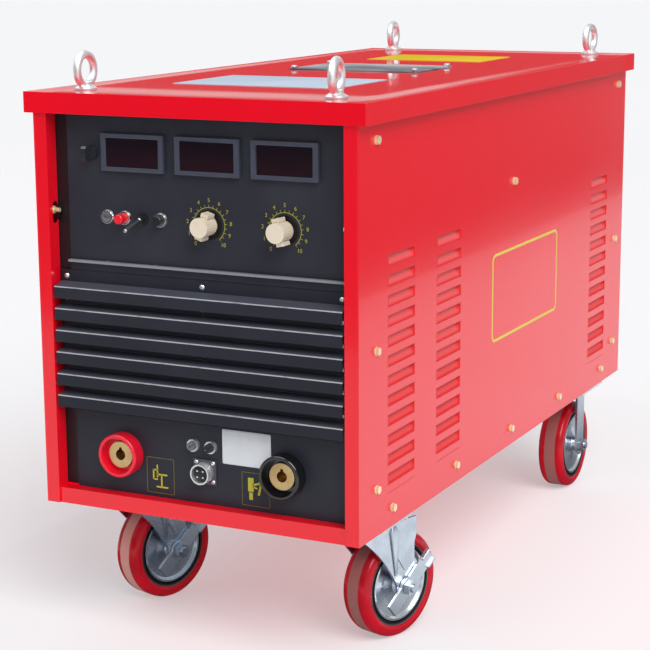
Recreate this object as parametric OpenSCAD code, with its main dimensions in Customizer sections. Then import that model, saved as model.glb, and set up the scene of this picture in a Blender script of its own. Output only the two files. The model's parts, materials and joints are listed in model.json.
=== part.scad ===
// Stud welder power source on casters: sheet metal cabinet, front controls, lifting eyes and inner parts.
// Millimetres, +Z up. Front faces -Y. The origin is on the floor, under the middle of the whole machine.

/* [Cabinet] */
// Width of the cabinet over its side panels
body_w = 480; // [440:1:540]
// Depth of the cabinet from front frame to rear panel
body_d = 1096; // [1040:1:1200]
// Height of the cabinet under the cover sheet
body_h = 566; // [556:1:620]
// Sheet thickness of the side and rear panels
sheet_t = 1.5; // [1:0.1:2.5]
// Sheet thickness of the front frame and the front panels
frame_t = 2; // [1.5:0.1:2.5]
// Plate thickness of the base tray
base_t = 3; // [2:0.5:5]
// Height of the base tray's side flanges
base_flange_h = 45; // [35:1:60]

/* [Cover] */
// Sheet thickness of the cover
cover_t = 2; // [1.5:0.1:3]
// Height of the cover's folded lip
cover_lip = 28; // [20:0.5:35]
// How far the cover overhangs each side
cover_side = 12; // [8:0.5:16]
// How far the cover overhangs the front
cover_front = 4; // [3:0.5:8]
// How far the cover overhangs the rear
cover_rear = 8.5; // [4:0.5:14]

/* [Lifting eyes] */
// Distance of each lifting eye from the cabinet's side
eye_x = 53; // [45:1:65]
// Distance of each lifting eye from the nearer end of the cabinet
eye_inset = 49; // [42:1:70]
// Diameter of the hole in a lifting eye
eye_bore_d = 30; // [24:1:36]
// Diameter of the round bar of a lifting eye
eye_bar_d = 11; // [9:0.5:14]
// Width of the straight land inside a lifting eye
eye_land = 4; // [3:0.5:6]
// Diameter of a lifting eye's seat collar
eye_collar_d = 30; // [26:1:36]
// Height of a lifting eye's seat collar
eye_collar_h = 7; // [5:0.5:9]
// Thread diameter of a lifting eye
eye_thread_d = 12; // [10:1:14]

/* [Front frame] */
// Width of the front posts, without the side panel's edge
post_w = 18.5; // [15:0.5:24]
// Depth of the front frame's side flanges
post_flange = 72; // [64:1:90]
// Depth of the front panels behind the frame's face
panel_recess = 20.5; // [18:0.5:24]
// Width of the flanges that carry the front panels
panel_flange = 22; // [18:1:26]
// Height of the bottom rail
rail_h = 22; // [18:1:28]
// Setback of the bottom rail behind the posts
rail_set = 3; // [1:0.5:5]
// Gap between the front panels and the right post
panel_gap = 2; // [1:0.5:4]
// Sideways shift of the front panels, which leaves a wider gap at the left post
panel_shift = 8.5; // [0:0.5:10]
// Height of the cable slot in each post
post_slot_h = 30; // [20:1:34]
// Width of the cable slot
post_slot_w = 13; // [10:0.5:13]
// Depth of the cable slot's centre behind the frame's face
post_slot_y = 15.5; // [14:0.5:15.5]
// Height of the cable slot's centre
post_slot_z = 405; // [380:1:430]

/* [Front panels] */
// Bottom edge of the control panel, below the cabinet's top
control_z = 223.5; // [216:0.5:226]
// Bottom edge of the louvre panel
vent_z = 132; // [126:0.5:140]
// Top edge of the first slat, below the control panel
slat_z = 36.5; // [32:0.5:49]
// Distance between slats
slat_pitch = 30.3; // [28:0.1:31]
// Height of a slat's front face
slat_face = 16; // [14:0.5:20]
// Depth of a slat's shelf
slat_depth = 20; // [10:0.5:20]
// Fall of a slat's shelf from the panel to its front edge
slat_fall = 5; // [2:0.5:7]
// Height of a slat's back flange
slat_back = 18; // [16:0.5:20]
// Thickness of a slat
slat_t = 1.5; // [1:0.1:2]
// Gap between each end of a slat and the post
slat_gap = 3.3; // [2:0.1:6]

/* [Meters] */
// Width of a panel meter's bezel
meter_w = 96; // [90:0.5:100]
// Height of a panel meter's bezel
meter_h = 50; // [44:0.5:54]
// How far a meter's bezel stands proud
meter_proud = 6; // [4:0.5:8]
// Border of a meter's bezel at its sides
meter_border_x = 8; // [6:0.5:10]
// Border of a meter's bezel at top and bottom
meter_border_z = 6; // [4:0.5:8]
// Depth of a meter's case behind the panel
meter_depth = 55; // [40:1:65]
// Centres of the meters, below the cabinet's top
meter_z = 76; // [66:1:86]
// Distance between meters
meter_pitch = 113; // [108:0.5:118]
// Middle meter's distance from the centre line
meter_x = 16.5; // [10:0.5:22]
// Thickness of a meter's lens
lens_t = 2.5; // [2:0.5:3.5]

/* [Controls] */
// Row of lamp, buttons and switch, below the cabinet's top
row_z = 163; // [156:0.5:171]
// Lamp's distance from the centre line
lamp_x = -140; // [-145:0.5:-136]
// Red button's distance from the centre line
red_x = -113; // [-116:0.5:-110]
// Switch's distance from the centre line
switch_x = -85; // [-88:0.5:-83]
// Black button's distance from the centre line
black_x = -57.5; // [-61:0.5:-54]
// Outer diameter of lamp and button bezels
bezel_d = 21; // [18:0.5:23]
// How far a bezel stands proud
bezel_proud = 3; // [2:0.5:4]
// Diameter of lamp and button barrels through the panel
barrel_d = 16; // [14:0.5:17]
// Diameter of a button's cap
cap_d = 13; // [10:0.5:14]
// How far the red button stands out of its bezel
red_proud = 15; // [10:0.5:18]
// How far the black button stands out of its bezel
black_proud = 8; // [6:0.5:12]
// Travel of a button
button_travel = 4; // [3:0.5:5]
// Centres of the knobs, below the cabinet's top
knob_z = 165; // [160:0.5:171]
// Current knob's distance from the centre line
current_x = 16; // [12:0.5:20]
// Time knob's distance from the centre line
time_x = 127; // [122:0.5:132]
// Diameter of a knob's barrel
knob_d = 26; // [22:0.5:30]
// Depth of a knob
knob_depth = 28; // [24:0.5:32]
// Tip to tip size of a knob's wings
knob_wing = 36; // [32:0.5:42]
// Diameter of a knob's shaft
shaft_d = 6; // [5:0.5:7]
// Tilt of the switch lever below the level
lever_tilt = 16; // [10:1:20]
// Length of the switch lever from its pivot
lever_len = 36; // [26:0.5:40]
// Latch's distance from the centre line
latch_x = -162; // [-166:0.5:-158]
// Diameter of the latch's base
latch_d = 20; // [17:0.5:20]

/* [Welding sockets] */
// Distance of each welding socket from the centre line
socket_x = 124; // [118:0.5:130]
// Height of the welding sockets
socket_z = 78; // [72:0.5:84]
// Outer diameter of a socket's collar
collar_d = 60; // [54:0.5:64]
// Wall of a socket's collar
collar_wall = 5; // [4:0.5:6]
// How far a collar stands out of the panel
collar_proud = 21; // [16:0.5:26]
// Diameter of a socket's brass insert
insert_d = 37; // [32:0.5:40]
// Depth of the insert's face below the collar's rim
insert_sunk = 10; // [8:0.5:14]
// Diameter of the insert's bore
insert_bore_d = 14.5; // [12:0.5:16]
// Depth of the insert's bore
insert_bore_depth = 32; // [26:0.5:36]
// Width of the insert's key slot
key_w = 4; // [3:0.5:5]

/* [Pilot connector and fuses] */
// Connector's distance from the centre line
plug_x = 3; // [0:0.5:6]
// Height of the connector
plug_z = 67; // [62:0.5:70]
// Side of the connector's square flange
plug_flange = 34; // [30:0.5:36]
// Outer diameter of the connector's barrel
plug_d = 28; // [24:0.5:29]
// How far the connector stands out of the panel
plug_proud = 17; // [12:0.5:20]
// Middle of the fuse holders, from the centre line
fuse_x = -1; // [-4:0.5:4]
// Distance of each fuse holder from their middle
fuse_dx = 13.5; // [12:0.5:16]
// Height of the fuse holders
fuse_z = 102; // [98:0.5:108]
// Diameter of a fuse holder's ring
fuse_d = 19; // [16:0.5:21]

/* [Side panels] */
// Width of a side louvre
louvre_w = 86; // [70:1:96]
// Height of a side louvre
louvre_h = 14; // [11:0.5:17]
// Depth of a side louvre
louvre_depth = 6; // [4:0.5:8]
// Distance between side louvres
louvre_pitch = 26.5; // [24:0.1:28]
// Number of louvres in a column
louvre_count = 12; // [6:1:12]
// Height of the first louvre's slit
louvre_z = 366; // [356:1:376]
// Diameter of the panel bolts' thread
bolt_d = 6; // [5:0.5:7]

/* [Rear] */
// Diameter of the fan's air passage
fan_d = 190; // [160:1:200]
// Height of the fan's centre
fan_z = 330; // [300:1:360]
// Side of the fan's square frame
fan_frame_w = 210; // [206:1:230]
// Depth of the fan
fan_depth = 50; // [40:1:60]
// Diameter of the mains cable gland's bore
gland_bore_d = 22; // [16:1:26]
// Gland's distance from the centre line
gland_x = -130; // [-150:1:-100]
// Height of the gland
gland_z = 80; // [70:1:100]
// How far the gland stands out of the rear panel
gland_proud = 32; // [26:1:40]
// Breaker's distance from the centre line
breaker_x = 120; // [90:1:140]
// Height of the breaker
breaker_z = 90; // [80:1:110]

/* [Casters] */
// Height of the cabinet's bottom above the floor
caster_h = 185; // [180:1:200]
// Radius of a wheel
wheel_r = 75; // [65:1:76]
// Width of a tyre
tyre_w = 45; // [38:1:46]
// Radius of a wheel's iron core
core_r = 59; // [56:1:62]
// Diameter of an axle
axle_d = 12; // [10:1:14]
// Space between the legs of a fork
fork_gap = 54; // [52:1:60]
// Sheet thickness of a fork
fork_t = 4; // [3:0.5:5]
// Distance of each caster from the cabinet's side
caster_x = 57; // [57:1:70]
// Front casters' swivel axis behind the front frame
front_y = 135; // [125:1:150]
// Rear axles before the cabinet's rear
rear_y = 127; // [96:1:156]
// Trail of the swivel casters
trail = 52; // [40:1:56]
// Angle that the front casters stand turned by
swivel = 17.5; // [0:0.5:30]
// Thickness of a caster's plate
plate_t = 4; // [3:0.5:6]
// Thickness of a brake lever
brake_t = 4; // [3:0.5:5]

/* [Clearances] */
// Radial clearance of shafts and pivots
pivot_fit = 0.05; // [0.02:0.01:0.1]
// Gap between faces that move past each other
run_gap = 0.5; // [0.3:0.1:1]
// Radial clearance of bolts and barrels in their holes
hole_fit = 0.25; // [0.1:0.05:0.5]

/* [Hidden] */
$fn = 64;

CABINET_RED = "crimson";
PANEL_BLACK = "#2b2d33";
ZINC = "silver";
YELLOW_ZINC = "goldenrod";
BRASS = "#c9a24a";

// Reach of the front-most and rear-most pieces, which centre the machine on its origin
panel_y = panel_recess;
lever_pivot = 8;
lever_tip_r = 3;
front_reach = lever_pivot + lever_len * cos(lever_tilt) + lever_tip_r - panel_y;
rear_reach = gland_proud;
mid_y = (body_d + rear_reach - front_reach) / 2;

// Inner faces of the cabinet
side_in = body_w / 2 - sheet_t;
post_in = side_in - post_w;
panel_half = post_in - panel_gap - panel_shift;
panel_left = panel_shift - panel_half;
panel_right = panel_shift + panel_half;
panel_back = panel_y + frame_t;
rear_in = body_d - sheet_t;
rear_flange = 60;
rear_top_flange = 25;
header_depth = 40;
cover_top = body_h + cover_t;

// Heights of the front's rows above the cabinet's bottom, and the slats that fit
control_low = body_h - control_z;
meter_mid = body_h - meter_z;
row_mid = body_h - row_z;
knob_mid = body_h - knob_z;
latch_drop = 2;
latch_mid = meter_mid - latch_drop;
slat_first = control_low - slat_z;
slat_count = floor((slat_first - slat_face - vent_z) / slat_pitch) + 1;

// Side louvre columns and side panel bolts, by distance behind the front frame
louvre_rear = 135;
louvre_columns = [132, 294, body_d - louvre_rear];
front_bolt_y = 52;
rear_bolt_in = 46;
rear_bolt_y = body_d - rear_bolt_in;
top_bolt_in = 48;
bolt_rows = [64, 248, body_h - top_bolt_in];
low_bolt_z = 26;
low_bolt_front = 102;
low_bolt_rear = 107;
low_bolt_count = 5;
low_bolt_pitch = (body_d - low_bolt_front - low_bolt_rear) / (low_bolt_count - 1);
stud_up = 3.5;
low_bolts = [for (i = [0 : low_bolt_count - 1]) low_bolt_front + i * low_bolt_pitch];
strut_shift = 3;
strut_y = body_d / 2 - strut_shift;
strut_bolt_in = 157;
strut_bolt_z = body_h - strut_bolt_in;
side_bolts = concat(
    [for (z = bolt_rows) [front_bolt_y, z]], [for (z = bolt_rows) [rear_bolt_y, z]],
    [for (y = low_bolts) [y, low_bolt_z]], [[strut_y, strut_bolt_z]]);

// Lifting eyes
eye_at = body_w / 2 - eye_x;
eye_rear_shift = 7;
eye_ys = [eye_inset, body_d - eye_inset + eye_rear_shift];
eye_neck = 4;
eye_ring_z = eye_collar_h + eye_neck + 1 + eye_bore_d / 2;
rail_t = 12;
upright_t = 6;

// Casters
axle_r = axle_d / 2;
leg_out = fork_gap / 2 + fork_t;
hub_half = fork_gap / 2 - 1;
race_h = 9;
crown_top = caster_h - plate_t - race_h - run_gap;
crown_t = 5;
plate_size = [112, 96];
plate_holes = [43, 35];
caster_bolt_d = 8;
caster_at = body_w / 2 - caster_x;
rear_axle_y = body_d - rear_y;
caster_places = [for (s = [-1, 1], y = [front_y, rear_axle_y]) [s * caster_at, y]];

// Widths across flats of the hex heads and nuts, as shares of their thread
function hex_r(d) = 1.65 * d / 2 / cos(30);

// Points on a quadratic curve
function curve(a, b, c, n) = [for (i = [0 : n])
    let (t = i / n) (1 - t) * (1 - t) * a + 2 * t * (1 - t) * b + t * t * c];

// Cabinet coordinates: y runs back from the front frame's face, z up from the cabinet's bottom
module cabinet() {
    translate([0, -mid_y, caster_h]) children();
}

// Local z points out of the front, from the front panels' plane
module front_at(x, z, y = panel_y) {
    cabinet() translate([x, y, z]) rotate([90, 0, 0]) children();
}

// Local z points out of the rear panel
module rear_at(x, z) {
    cabinet() translate([x, body_d, z]) rotate([-90, 0, 0]) children();
}

module both_sides() {
    children();
    mirror([1, 0, 0]) children();
}

module box(lo, hi) {
    translate(lo) cube(hi - lo);
}

module ring(d_out, d_in, h) {
    difference() {
        cylinder(d = d_out, h = h);
        translate([0, 0, -1]) cylinder(d = d_in, h = h + 2);
    }
}

// Holes through a side panel and what lies behind it, at the panel bolts
module side_bolt_holes() {
    reach = 12;
    for (p = side_bolts)
        translate([side_in - reach, p[0], p[1]]) rotate([0, 90, 0])
            cylinder(d = bolt_d + 2 * hole_fit, h = reach + sheet_t + 1);
}

// Holes for the caster bolts
module caster_bolt_holes() {
    for (p = caster_places, sx = [-1, 1], sy = [-1, 1])
        translate([p[0] + sx * plate_holes[0], p[1] + sy * plate_holes[1], -plate_t - 1])
            cylinder(d = caster_bolt_d + 2 * hole_fit, h = plate_t + base_t + 2);
}

// Base tray with flanged sides and two cross channels over the casters
module base_frame() {
    front_end = rail_set + frame_t + 1;
    post_back = panel_back + frame_t + 1;
    tongue = post_in - panel_flange - 1;
    flange_from = post_flange + 1;
    flange_to = body_d - rear_flange - 1;
    channel_w = 50;
    channel_h = 30;
    color(CABINET_RED) cabinet() difference() {
        union() {
            box([-side_in + frame_t + 1, post_back, 0], [side_in - frame_t - 1, rear_in - 1, base_t]);
            box([-tongue, front_end, 0], [tongue, post_back + 1, base_t]);
            box([-side_in, flange_from, 0], [side_in, flange_to, base_t]);
            both_sides()
                box([side_in - base_t, flange_from, 0], [side_in, flange_to, base_flange_h]);
            for (y = [front_y + plate_size[1] / 2 + channel_w, rear_axle_y - plate_size[1] / 2 - channel_w])
                difference() {
                    box([-side_in + base_t, y - channel_w / 2, 0],
                        [side_in - base_t, y + channel_w / 2, channel_h]);
                    box([-side_in, y - channel_w / 2 + base_t, base_t],
                        [side_in, y + channel_w / 2 - base_t, channel_h - base_t]);
                }
        }
        both_sides() side_bolt_holes();
        caster_bolt_holes();
    }
}

// Section of a front post, seen from above: side flange, face, return and panel flange
module post_section() {
    difference() {
        translate([post_in, 0]) square([post_w, post_flange]);
        translate([post_in + frame_t, frame_t]) square([post_w - 2 * frame_t, post_flange]);
        translate([post_in - 1, panel_back + frame_t]) square([post_w - frame_t, post_flange]);
    }
    translate([post_in - panel_flange, panel_back]) square([panel_flange + frame_t, frame_t]);
}

// Cable slot with round ends, through a post's return
module post_slot() {
    reach = (post_slot_h - post_slot_w) / 2;
    translate([post_in - 1, post_slot_y, post_slot_z]) rotate([0, 90, 0]) linear_extrude(frame_t + 2) {
        square([2 * reach, post_slot_w], center = true);
        for (s = [-1, 1]) translate([s * reach, 0]) circle(d = post_slot_w);
    }
}

// Welded front frame: two posts, the bottom rail and the header under the cover
module front_frame() {
    header_h = cover_lip - 2;
    header_set = 4;
    color(CABINET_RED) cabinet() difference() {
        union() {
            both_sides() linear_extrude(body_h) post_section();
            difference() {
                box([-post_in - frame_t, rail_set, 0], [post_in + frame_t, panel_back + frame_t, rail_h]);
                box([-side_in, rail_set + frame_t, -1],
                    [side_in, panel_back + frame_t + 1, rail_h - frame_t]);
            }
            box([-post_in, panel_back, rail_h - frame_t],
                [post_in, panel_back + frame_t, rail_h + panel_flange]);
            difference() {
                box([-side_in + frame_t / 2, header_set, body_h - header_h],
                    [side_in - frame_t / 2, header_depth, body_h]);
                box([-side_in - 1, header_set + frame_t, body_h - header_h - 1],
                    [side_in + 1, header_depth + 1, body_h - frame_t]);
            }
        }
        both_sides() {
            side_bolt_holes();
            post_slot();
            translate([side_in - frame_t - 1, post_slot_y, post_slot_z + stud_up]) rotate([0, 90, 0])
                cylinder(d = bolt_d + 2 * hole_fit, h = frame_t + 2);
        }
    }
}

// Ladder frame that carries the lifting eyes: two rails, cross bars and two uprights to the tray
module lifting_frame() {
    rail_w = 34;
    bar = upright_t;
    front_end = header_depth + run_gap;
    rear_end = rear_in - rear_top_flange - run_gap;
    upright_w = 40;
    color("dimgray") cabinet() difference() {
        union() {
            both_sides()
                box([eye_at - rail_w / 2, front_end, body_h - rail_t],
                    [eye_at + rail_w / 2, rear_end, body_h]);
            for (y = concat(eye_ys, [strut_y]))
                box([-eye_at, y - rail_w / 2, body_h - rail_t], [eye_at, y + rail_w / 2, body_h - rail_t + bar]);
            both_sides() {
                box([side_in - bar, strut_y - upright_w / 2, base_flange_h],
                    [side_in, strut_y + upright_w / 2, body_h]);
                box([eye_at, strut_y - upright_w / 2, body_h - rail_t],
                    [side_in, strut_y + upright_w / 2, body_h]);
            }
        }
        both_sides() {
            side_bolt_holes();
            for (y = eye_ys)
                translate([eye_at, y, body_h - rail_t - 1]) cylinder(d = eye_thread_d, h = rail_t + 2);
        }
    }
}

// Folded cover with a lip all round and holes for the lifting eyes
module top_cover() {
    half = body_w / 2 + cover_side;
    color(CABINET_RED) cabinet() difference() {
        box([-half, -cover_front, cover_top - cover_lip], [half, body_d + cover_rear, cover_top]);
        box([-half + cover_t, -cover_front + cover_t, cover_top - cover_lip - 1],
            [half - cover_t, body_d + cover_rear - cover_t, body_h]);
        for (s = [-1, 1], y = eye_ys)
            translate([s * eye_at, y, body_h - 1]) cylinder(d = eye_thread_d + 2 * hole_fit, h = cover_t + 2);
    }
}

// Outline of one pressed louvre in x and z: a ramp that leans in towards the slit at its top
module louvre_ramp() {
    polygon([[0, -louvre_h - 1], [0, -louvre_h], [-louvre_depth, 0],
        [-louvre_depth - sheet_t, 0], [-sheet_t, -louvre_h - 1]]);
}

// Outline of the closed end of a louvre
module louvre_end() {
    polygon([[0, -louvre_h - 1], [0, 1], [-louvre_depth - sheet_t, 1],
        [-louvre_depth - sheet_t, 0], [-sheet_t, -louvre_h - 1]]);
}

// One column of louvre outlines, extruded along the panel
module louvre_column(w) {
    translate([0, w / 2, 0]) rotate([90, 0, 0]) linear_extrude(w)
        for (i = [0 : louvre_count - 1]) translate([0, -i * louvre_pitch]) children();
}

// Side panel with pressed louvres, as on the right
module side_panel() {
    color(CABINET_RED) cabinet() difference() {
        union() {
            difference() {
                box([side_in, 0, 0], [body_w / 2, body_d, body_h]);
                for (y = louvre_columns) translate([body_w / 2, y, louvre_z])
                    louvre_column(louvre_w) translate([-sheet_t - 1, -louvre_h]) square([sheet_t + 2, louvre_h]);
            }
            for (y = louvre_columns) translate([body_w / 2, y, louvre_z]) {
                louvre_column(louvre_w) louvre_ramp();
                for (s = [-1, 1]) translate([0, s * (louvre_w / 2), 0]) louvre_column(2 * sheet_t) louvre_end();
            }
        }
        side_bolt_holes();
    }
}

module right_side_panel() {
    side_panel();
}

module left_side_panel() {
    mirror([1, 0, 0]) side_panel();
}

// Half height of the round fan grille at a distance from its centre
function grille_half(z) = sqrt(pow(fan_d / 2, 2) - z * z);

// Rear panel: a folded tray with a slotted fan grille, gland hole and breaker window
module rear_panel() {
    slot_h = 7;
    slot_pitch = 14;
    web = 6;
    slots = [for (i = [-6 : 6]) i * slot_pitch];
    color(CABINET_RED) cabinet() difference() {
        union() {
            box([-side_in, rear_in, 0], [side_in, body_d, body_h]);
            both_sides() box([side_in - frame_t, rear_in - rear_flange + sheet_t, 0], [side_in, rear_in, body_h]);
            box([-side_in, rear_in - rear_top_flange, body_h - frame_t], [side_in, rear_in, body_h]);
        }
        both_sides() side_bolt_holes();
        for (z = slots, s = [-1, 1])
            box([s > 0 ? web / 2 : -grille_half(z), rear_in - 1, fan_z + z - slot_h / 2],
                [s > 0 ? grille_half(z) : -web / 2, body_d + 1, fan_z + z + slot_h / 2]);
        translate([gland_x, rear_in - 1, gland_z]) rotate([-90, 0, 0])
            cylinder(d = gland_thread_d + 2 * hole_fit, h = sheet_t + 2);
        box([breaker_x - breaker_w / 2, rear_in - 1, breaker_z - breaker_win / 2],
            [breaker_x + breaker_w / 2, body_d + 1, breaker_z + breaker_win / 2]);
        for (p = fan_screws) translate([p[0], rear_in - 1, fan_z + p[1]]) rotate([-90, 0, 0])
            cylinder(d = screw_d + 2 * hole_fit, h = sheet_t + 2);
    }
}

// Control panel with windows for the meters and holes for every control
module control_panel() {
    color(PANEL_BLACK) cabinet() difference() {
        box([panel_left, panel_y, control_low], [panel_right, panel_back, body_h - frame_t - run_gap]);
        for (x = meter_xs)
            box([x - meter_case_w / 2 - hole_fit, panel_y - 1, meter_mid - meter_case_h / 2 - hole_fit],
                [x + meter_case_w / 2 + hole_fit, panel_back + 1, meter_mid + meter_case_h / 2 + hole_fit]);
        for (x = [lamp_x, red_x, black_x]) panel_hole(x, row_mid, barrel_d);
        panel_hole(switch_x, row_mid, bush_d);
        for (x = [current_x, time_x]) panel_hole(x, knob_mid, pot_bush_d);
        panel_hole(latch_x, latch_mid, latch_stem_d);
    }
}

// Round hole through a front panel
module panel_hole(x, z, d) {
    translate([x, panel_back + 1, z]) rotate([90, 0, 0]) cylinder(d = d + 2 * hole_fit, h = frame_t + 2);
}

// Louvre panel: the plate behind the slats, with air slots, and the ledge above them
module louvre_panel() {
    ledge = 7;
    ledge_t = 3;
    rib = 12;
    slot_margin = 17;
    slot_edge = 1;
    slot_w = panel_half - slot_margin - rib / 2;
    slot_from = slat_fall + slat_back - slat_t - slat_pitch + slot_edge;
    slot_to = slat_fall - slat_t - slot_edge;
    color(PANEL_BLACK) cabinet() difference() {
        union() {
            box([panel_left, panel_y, vent_z], [panel_right, panel_back, control_low - run_gap]);
            box([panel_left, panel_y - ledge, control_low - run_gap - ledge_t],
                [panel_right, panel_back, control_low - run_gap]);
        }
        for (i = [0 : slat_count - 1], s = [0, 1])
            box([panel_shift + s * (slot_w + rib) - slot_w - rib / 2, panel_y - 1, slat_top(i) + slot_from],
                [panel_shift + s * (slot_w + rib) - rib / 2, panel_back + 1, slat_top(i) + slot_to]);
        for (p = slat_screws) panel_hole(p[0], p[1], screw_d);
    }
}

function slat_top(i) = slat_first - i * slat_pitch;

// Z-bent slats: a back flange on the panel, a sloping shelf and a front face that hangs down
module louvre_slats() {
    flange_top = slat_fall + slat_back - slat_t;
    color(PANEL_BLACK) cabinet() difference() {
        for (i = [0 : slat_count - 1])
            translate([-slat_half, panel_y, slat_top(i)]) rotate([90, 0, 90]) linear_extrude(2 * slat_half)
                polygon([[0, slat_fall - slat_t], [0, flange_top], [-slat_t, flange_top], [-slat_t, slat_fall],
                    [-slat_depth, 0], [-slat_depth, -slat_face], [-slat_depth + slat_t, -slat_face],
                    [-slat_depth + slat_t, -slat_t]]);
        for (p = slat_screws) translate([p[0], panel_y + 1, p[1]]) rotate([90, 0, 0])
            cylinder(d = screw_d + 2 * hole_fit, h = slat_t + 2);
    }
}

// Lower panel that carries the sockets, connector and fuse holders
module lower_panel() {
    color(PANEL_BLACK) cabinet() difference() {
        box([panel_left, panel_y, rail_h], [panel_right, panel_back, vent_z - run_gap]);
        for (s = [-1, 1]) panel_hole(s * socket_x, socket_z, sleeve_d);
        panel_hole(plug_x, plug_z, plug_back_d);
        for (s = [-1, 1]) panel_hole(fuse_x + s * fuse_dx, fuse_z, fuse_barrel_d);
        for (p = plug_screws) panel_hole(p[0], p[1], plug_screw_d);
    }
}

// Screws of the front
screw_d = 4;
plug_screw_d = 3;
slat_half = post_in - slat_gap;
slat_screw_in = 8.7;
slat_screw_mid = 4;
slat_screw_up = 7;
slat_screw_xs = [-slat_half + slat_screw_in, slat_screw_mid, slat_half - slat_screw_in];
slat_screws = [for (i = [0 : slat_count - 1], x = slat_screw_xs) [x, slat_top(i) + slat_fall + slat_screw_up]];
plug_screw_r = plug_flange / 2 - 4;
plug_screws = [for (sx = [-1, 1], sz = [-1, 1]) [plug_x + sx * plug_screw_r, plug_z + sz * plug_screw_r]];

// Sizes behind the front panels
meter_xs = [for (i = [-1 : 1]) meter_x + i * meter_pitch];
meter_case_w = meter_w - 6;
meter_case_h = meter_h - 6;
bush_d = 12;
pot_bush_d = 10;
latch_stem_d = 10;
sleeve_d = 46;
plug_back_d = plug_d - 4;
fuse_barrel_d = 13;

// Three panel meters: a bezel with a window, and the case behind it
module meter_bezels() {
    color("slategray") for (x = meter_xs) front_at(x, meter_mid) difference() {
        union() {
            translate([-meter_w / 2, -meter_h / 2, 0]) cube([meter_w, meter_h, meter_proud]);
            translate([-meter_case_w / 2, -meter_case_h / 2, -meter_depth])
                cube([meter_case_w, meter_case_h, meter_depth + 1]);
        }
        translate([-lens_w / 2 - pivot_fit, -lens_h / 2 - pivot_fit, meter_proud - lens_sunk - lens_t])
            cube([lens_w + 2 * pivot_fit, lens_h + 2 * pivot_fit, meter_proud + lens_t]);
    }
}

lens_w = meter_w - 2 * meter_border_x;
lens_h = meter_h - 2 * meter_border_z;
lens_sunk = 1.5;

// Tinted windows of the meters
module meter_lenses() {
    color("#3a0d12") for (x = meter_xs) front_at(x, meter_mid)
        translate([-lens_w / 2, -lens_h / 2, meter_proud - lens_sunk - lens_t]) cube([lens_w, lens_h, lens_t]);
}

pot_nut_h = 3;
pot_body_d = 25;
pot_body_h = 12;
knob_lift = 1.5;

// Knob with a fluted barrel, two wings and a round face, on its own steel shaft
module knob(x, turn) {
    flutes = 24;
    flute_d = 1.6;
    cap_h = 4;
    wing_w = 11;
    wing_h = 17;
    recess_d = 19;
    recess_h = 5;
    color("antiquewhite") front_at(x, knob_mid) rotate([0, 0, turn]) {
        difference() {
            union() {
                translate([0, 0, knob_lift]) cylinder(d = knob_d, h = knob_depth - knob_lift);
                translate([-wing_w / 2, -knob_wing / 2, knob_lift + 2]) cube([wing_w, knob_wing, wing_h]);
            }
            for (i = [0 : flutes - 1]) rotate([0, 0, (i + 0.5) * 360 / flutes])
                translate([knob_d / 2 + 0.3, 0, knob_lift - 1])
                    cylinder(d = flute_d, h = knob_depth - knob_lift - cap_h + 1, $fn = 16);
            cylinder(d = recess_d, h = knob_lift + recess_h);
        }
        translate([0, 0, -frame_t - pot_body_h + 2])
            cylinder(d = shaft_d, h = frame_t + pot_body_h + recess_h + knob_lift - 1);
    }
}

// How far each knob stands turned from upright
current_turn = -18;
time_turn = 12;

module current_knob() {
    knob(current_x, current_turn);
}

module time_knob() {
    knob(time_x, time_turn);
}

// Two potentiometers behind the panel, each with a threaded bush and its nut
module potentiometers() {
    color(ZINC) for (x = [current_x, time_x]) front_at(x, knob_mid) difference() {
        union() {
            translate([0, 0, -frame_t - pot_body_h]) cylinder(d = pot_body_d, h = pot_body_h);
            translate([0, 0, -frame_t - 1]) cylinder(d = pot_bush_d, h = frame_t + 1 + pot_nut_h + 1);
            cylinder(r = hex_r(pot_bush_d) * 0.8, h = pot_nut_h, $fn = 6);
        }
        translate([0, 0, -frame_t - pot_body_h + 1])
            cylinder(d = shaft_d + 2 * pivot_fit, h = frame_t + pot_body_h + 10);
    }
}

// Domed lamp window
module power_lamp() {
    lamp_d = barrel_d - 2;
    dome_r = 16;
    color("lightgray") front_at(lamp_x, row_mid) intersection() {
        translate([0, 0, -1]) cylinder(d = lamp_d, h = 8);
        translate([0, 0, bezel_proud + 2 - dome_r]) sphere(r = dome_r, $fn = 96);
    }
}

cap_len = frame_t + 12;

// Push button cap with a turned rim and its plunger
module button_cap(x, proud) {
    edge = 1;
    front_at(x, row_mid) rotate_extrude()
        polygon([[0, -cap_len], [cap_d / 2, -cap_len], [cap_d / 2, bezel_proud + proud - edge],
            [cap_d / 2 - edge, bezel_proud + proud], [0, bezel_proud + proud]]);
}

module red_button() {
    color("red") button_cap(red_x, red_proud);
}

module black_button() {
    color("#1c1c1e") button_cap(black_x, black_proud);
}

bush_len = 22;

// Bezel, barrel and nut of a lamp or button
module bezel_bush() {
    nut_h = 4;
    cylinder(d1 = bezel_d, d2 = bezel_d - 3, h = bezel_proud);
    translate([0, 0, -frame_t - bush_len]) cylinder(d = barrel_d, h = frame_t + bush_len + 1);
    translate([0, 0, -frame_t - nut_h]) cylinder(r = barrel_d / 2 + 3, h = nut_h, $fn = 6);
}

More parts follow.
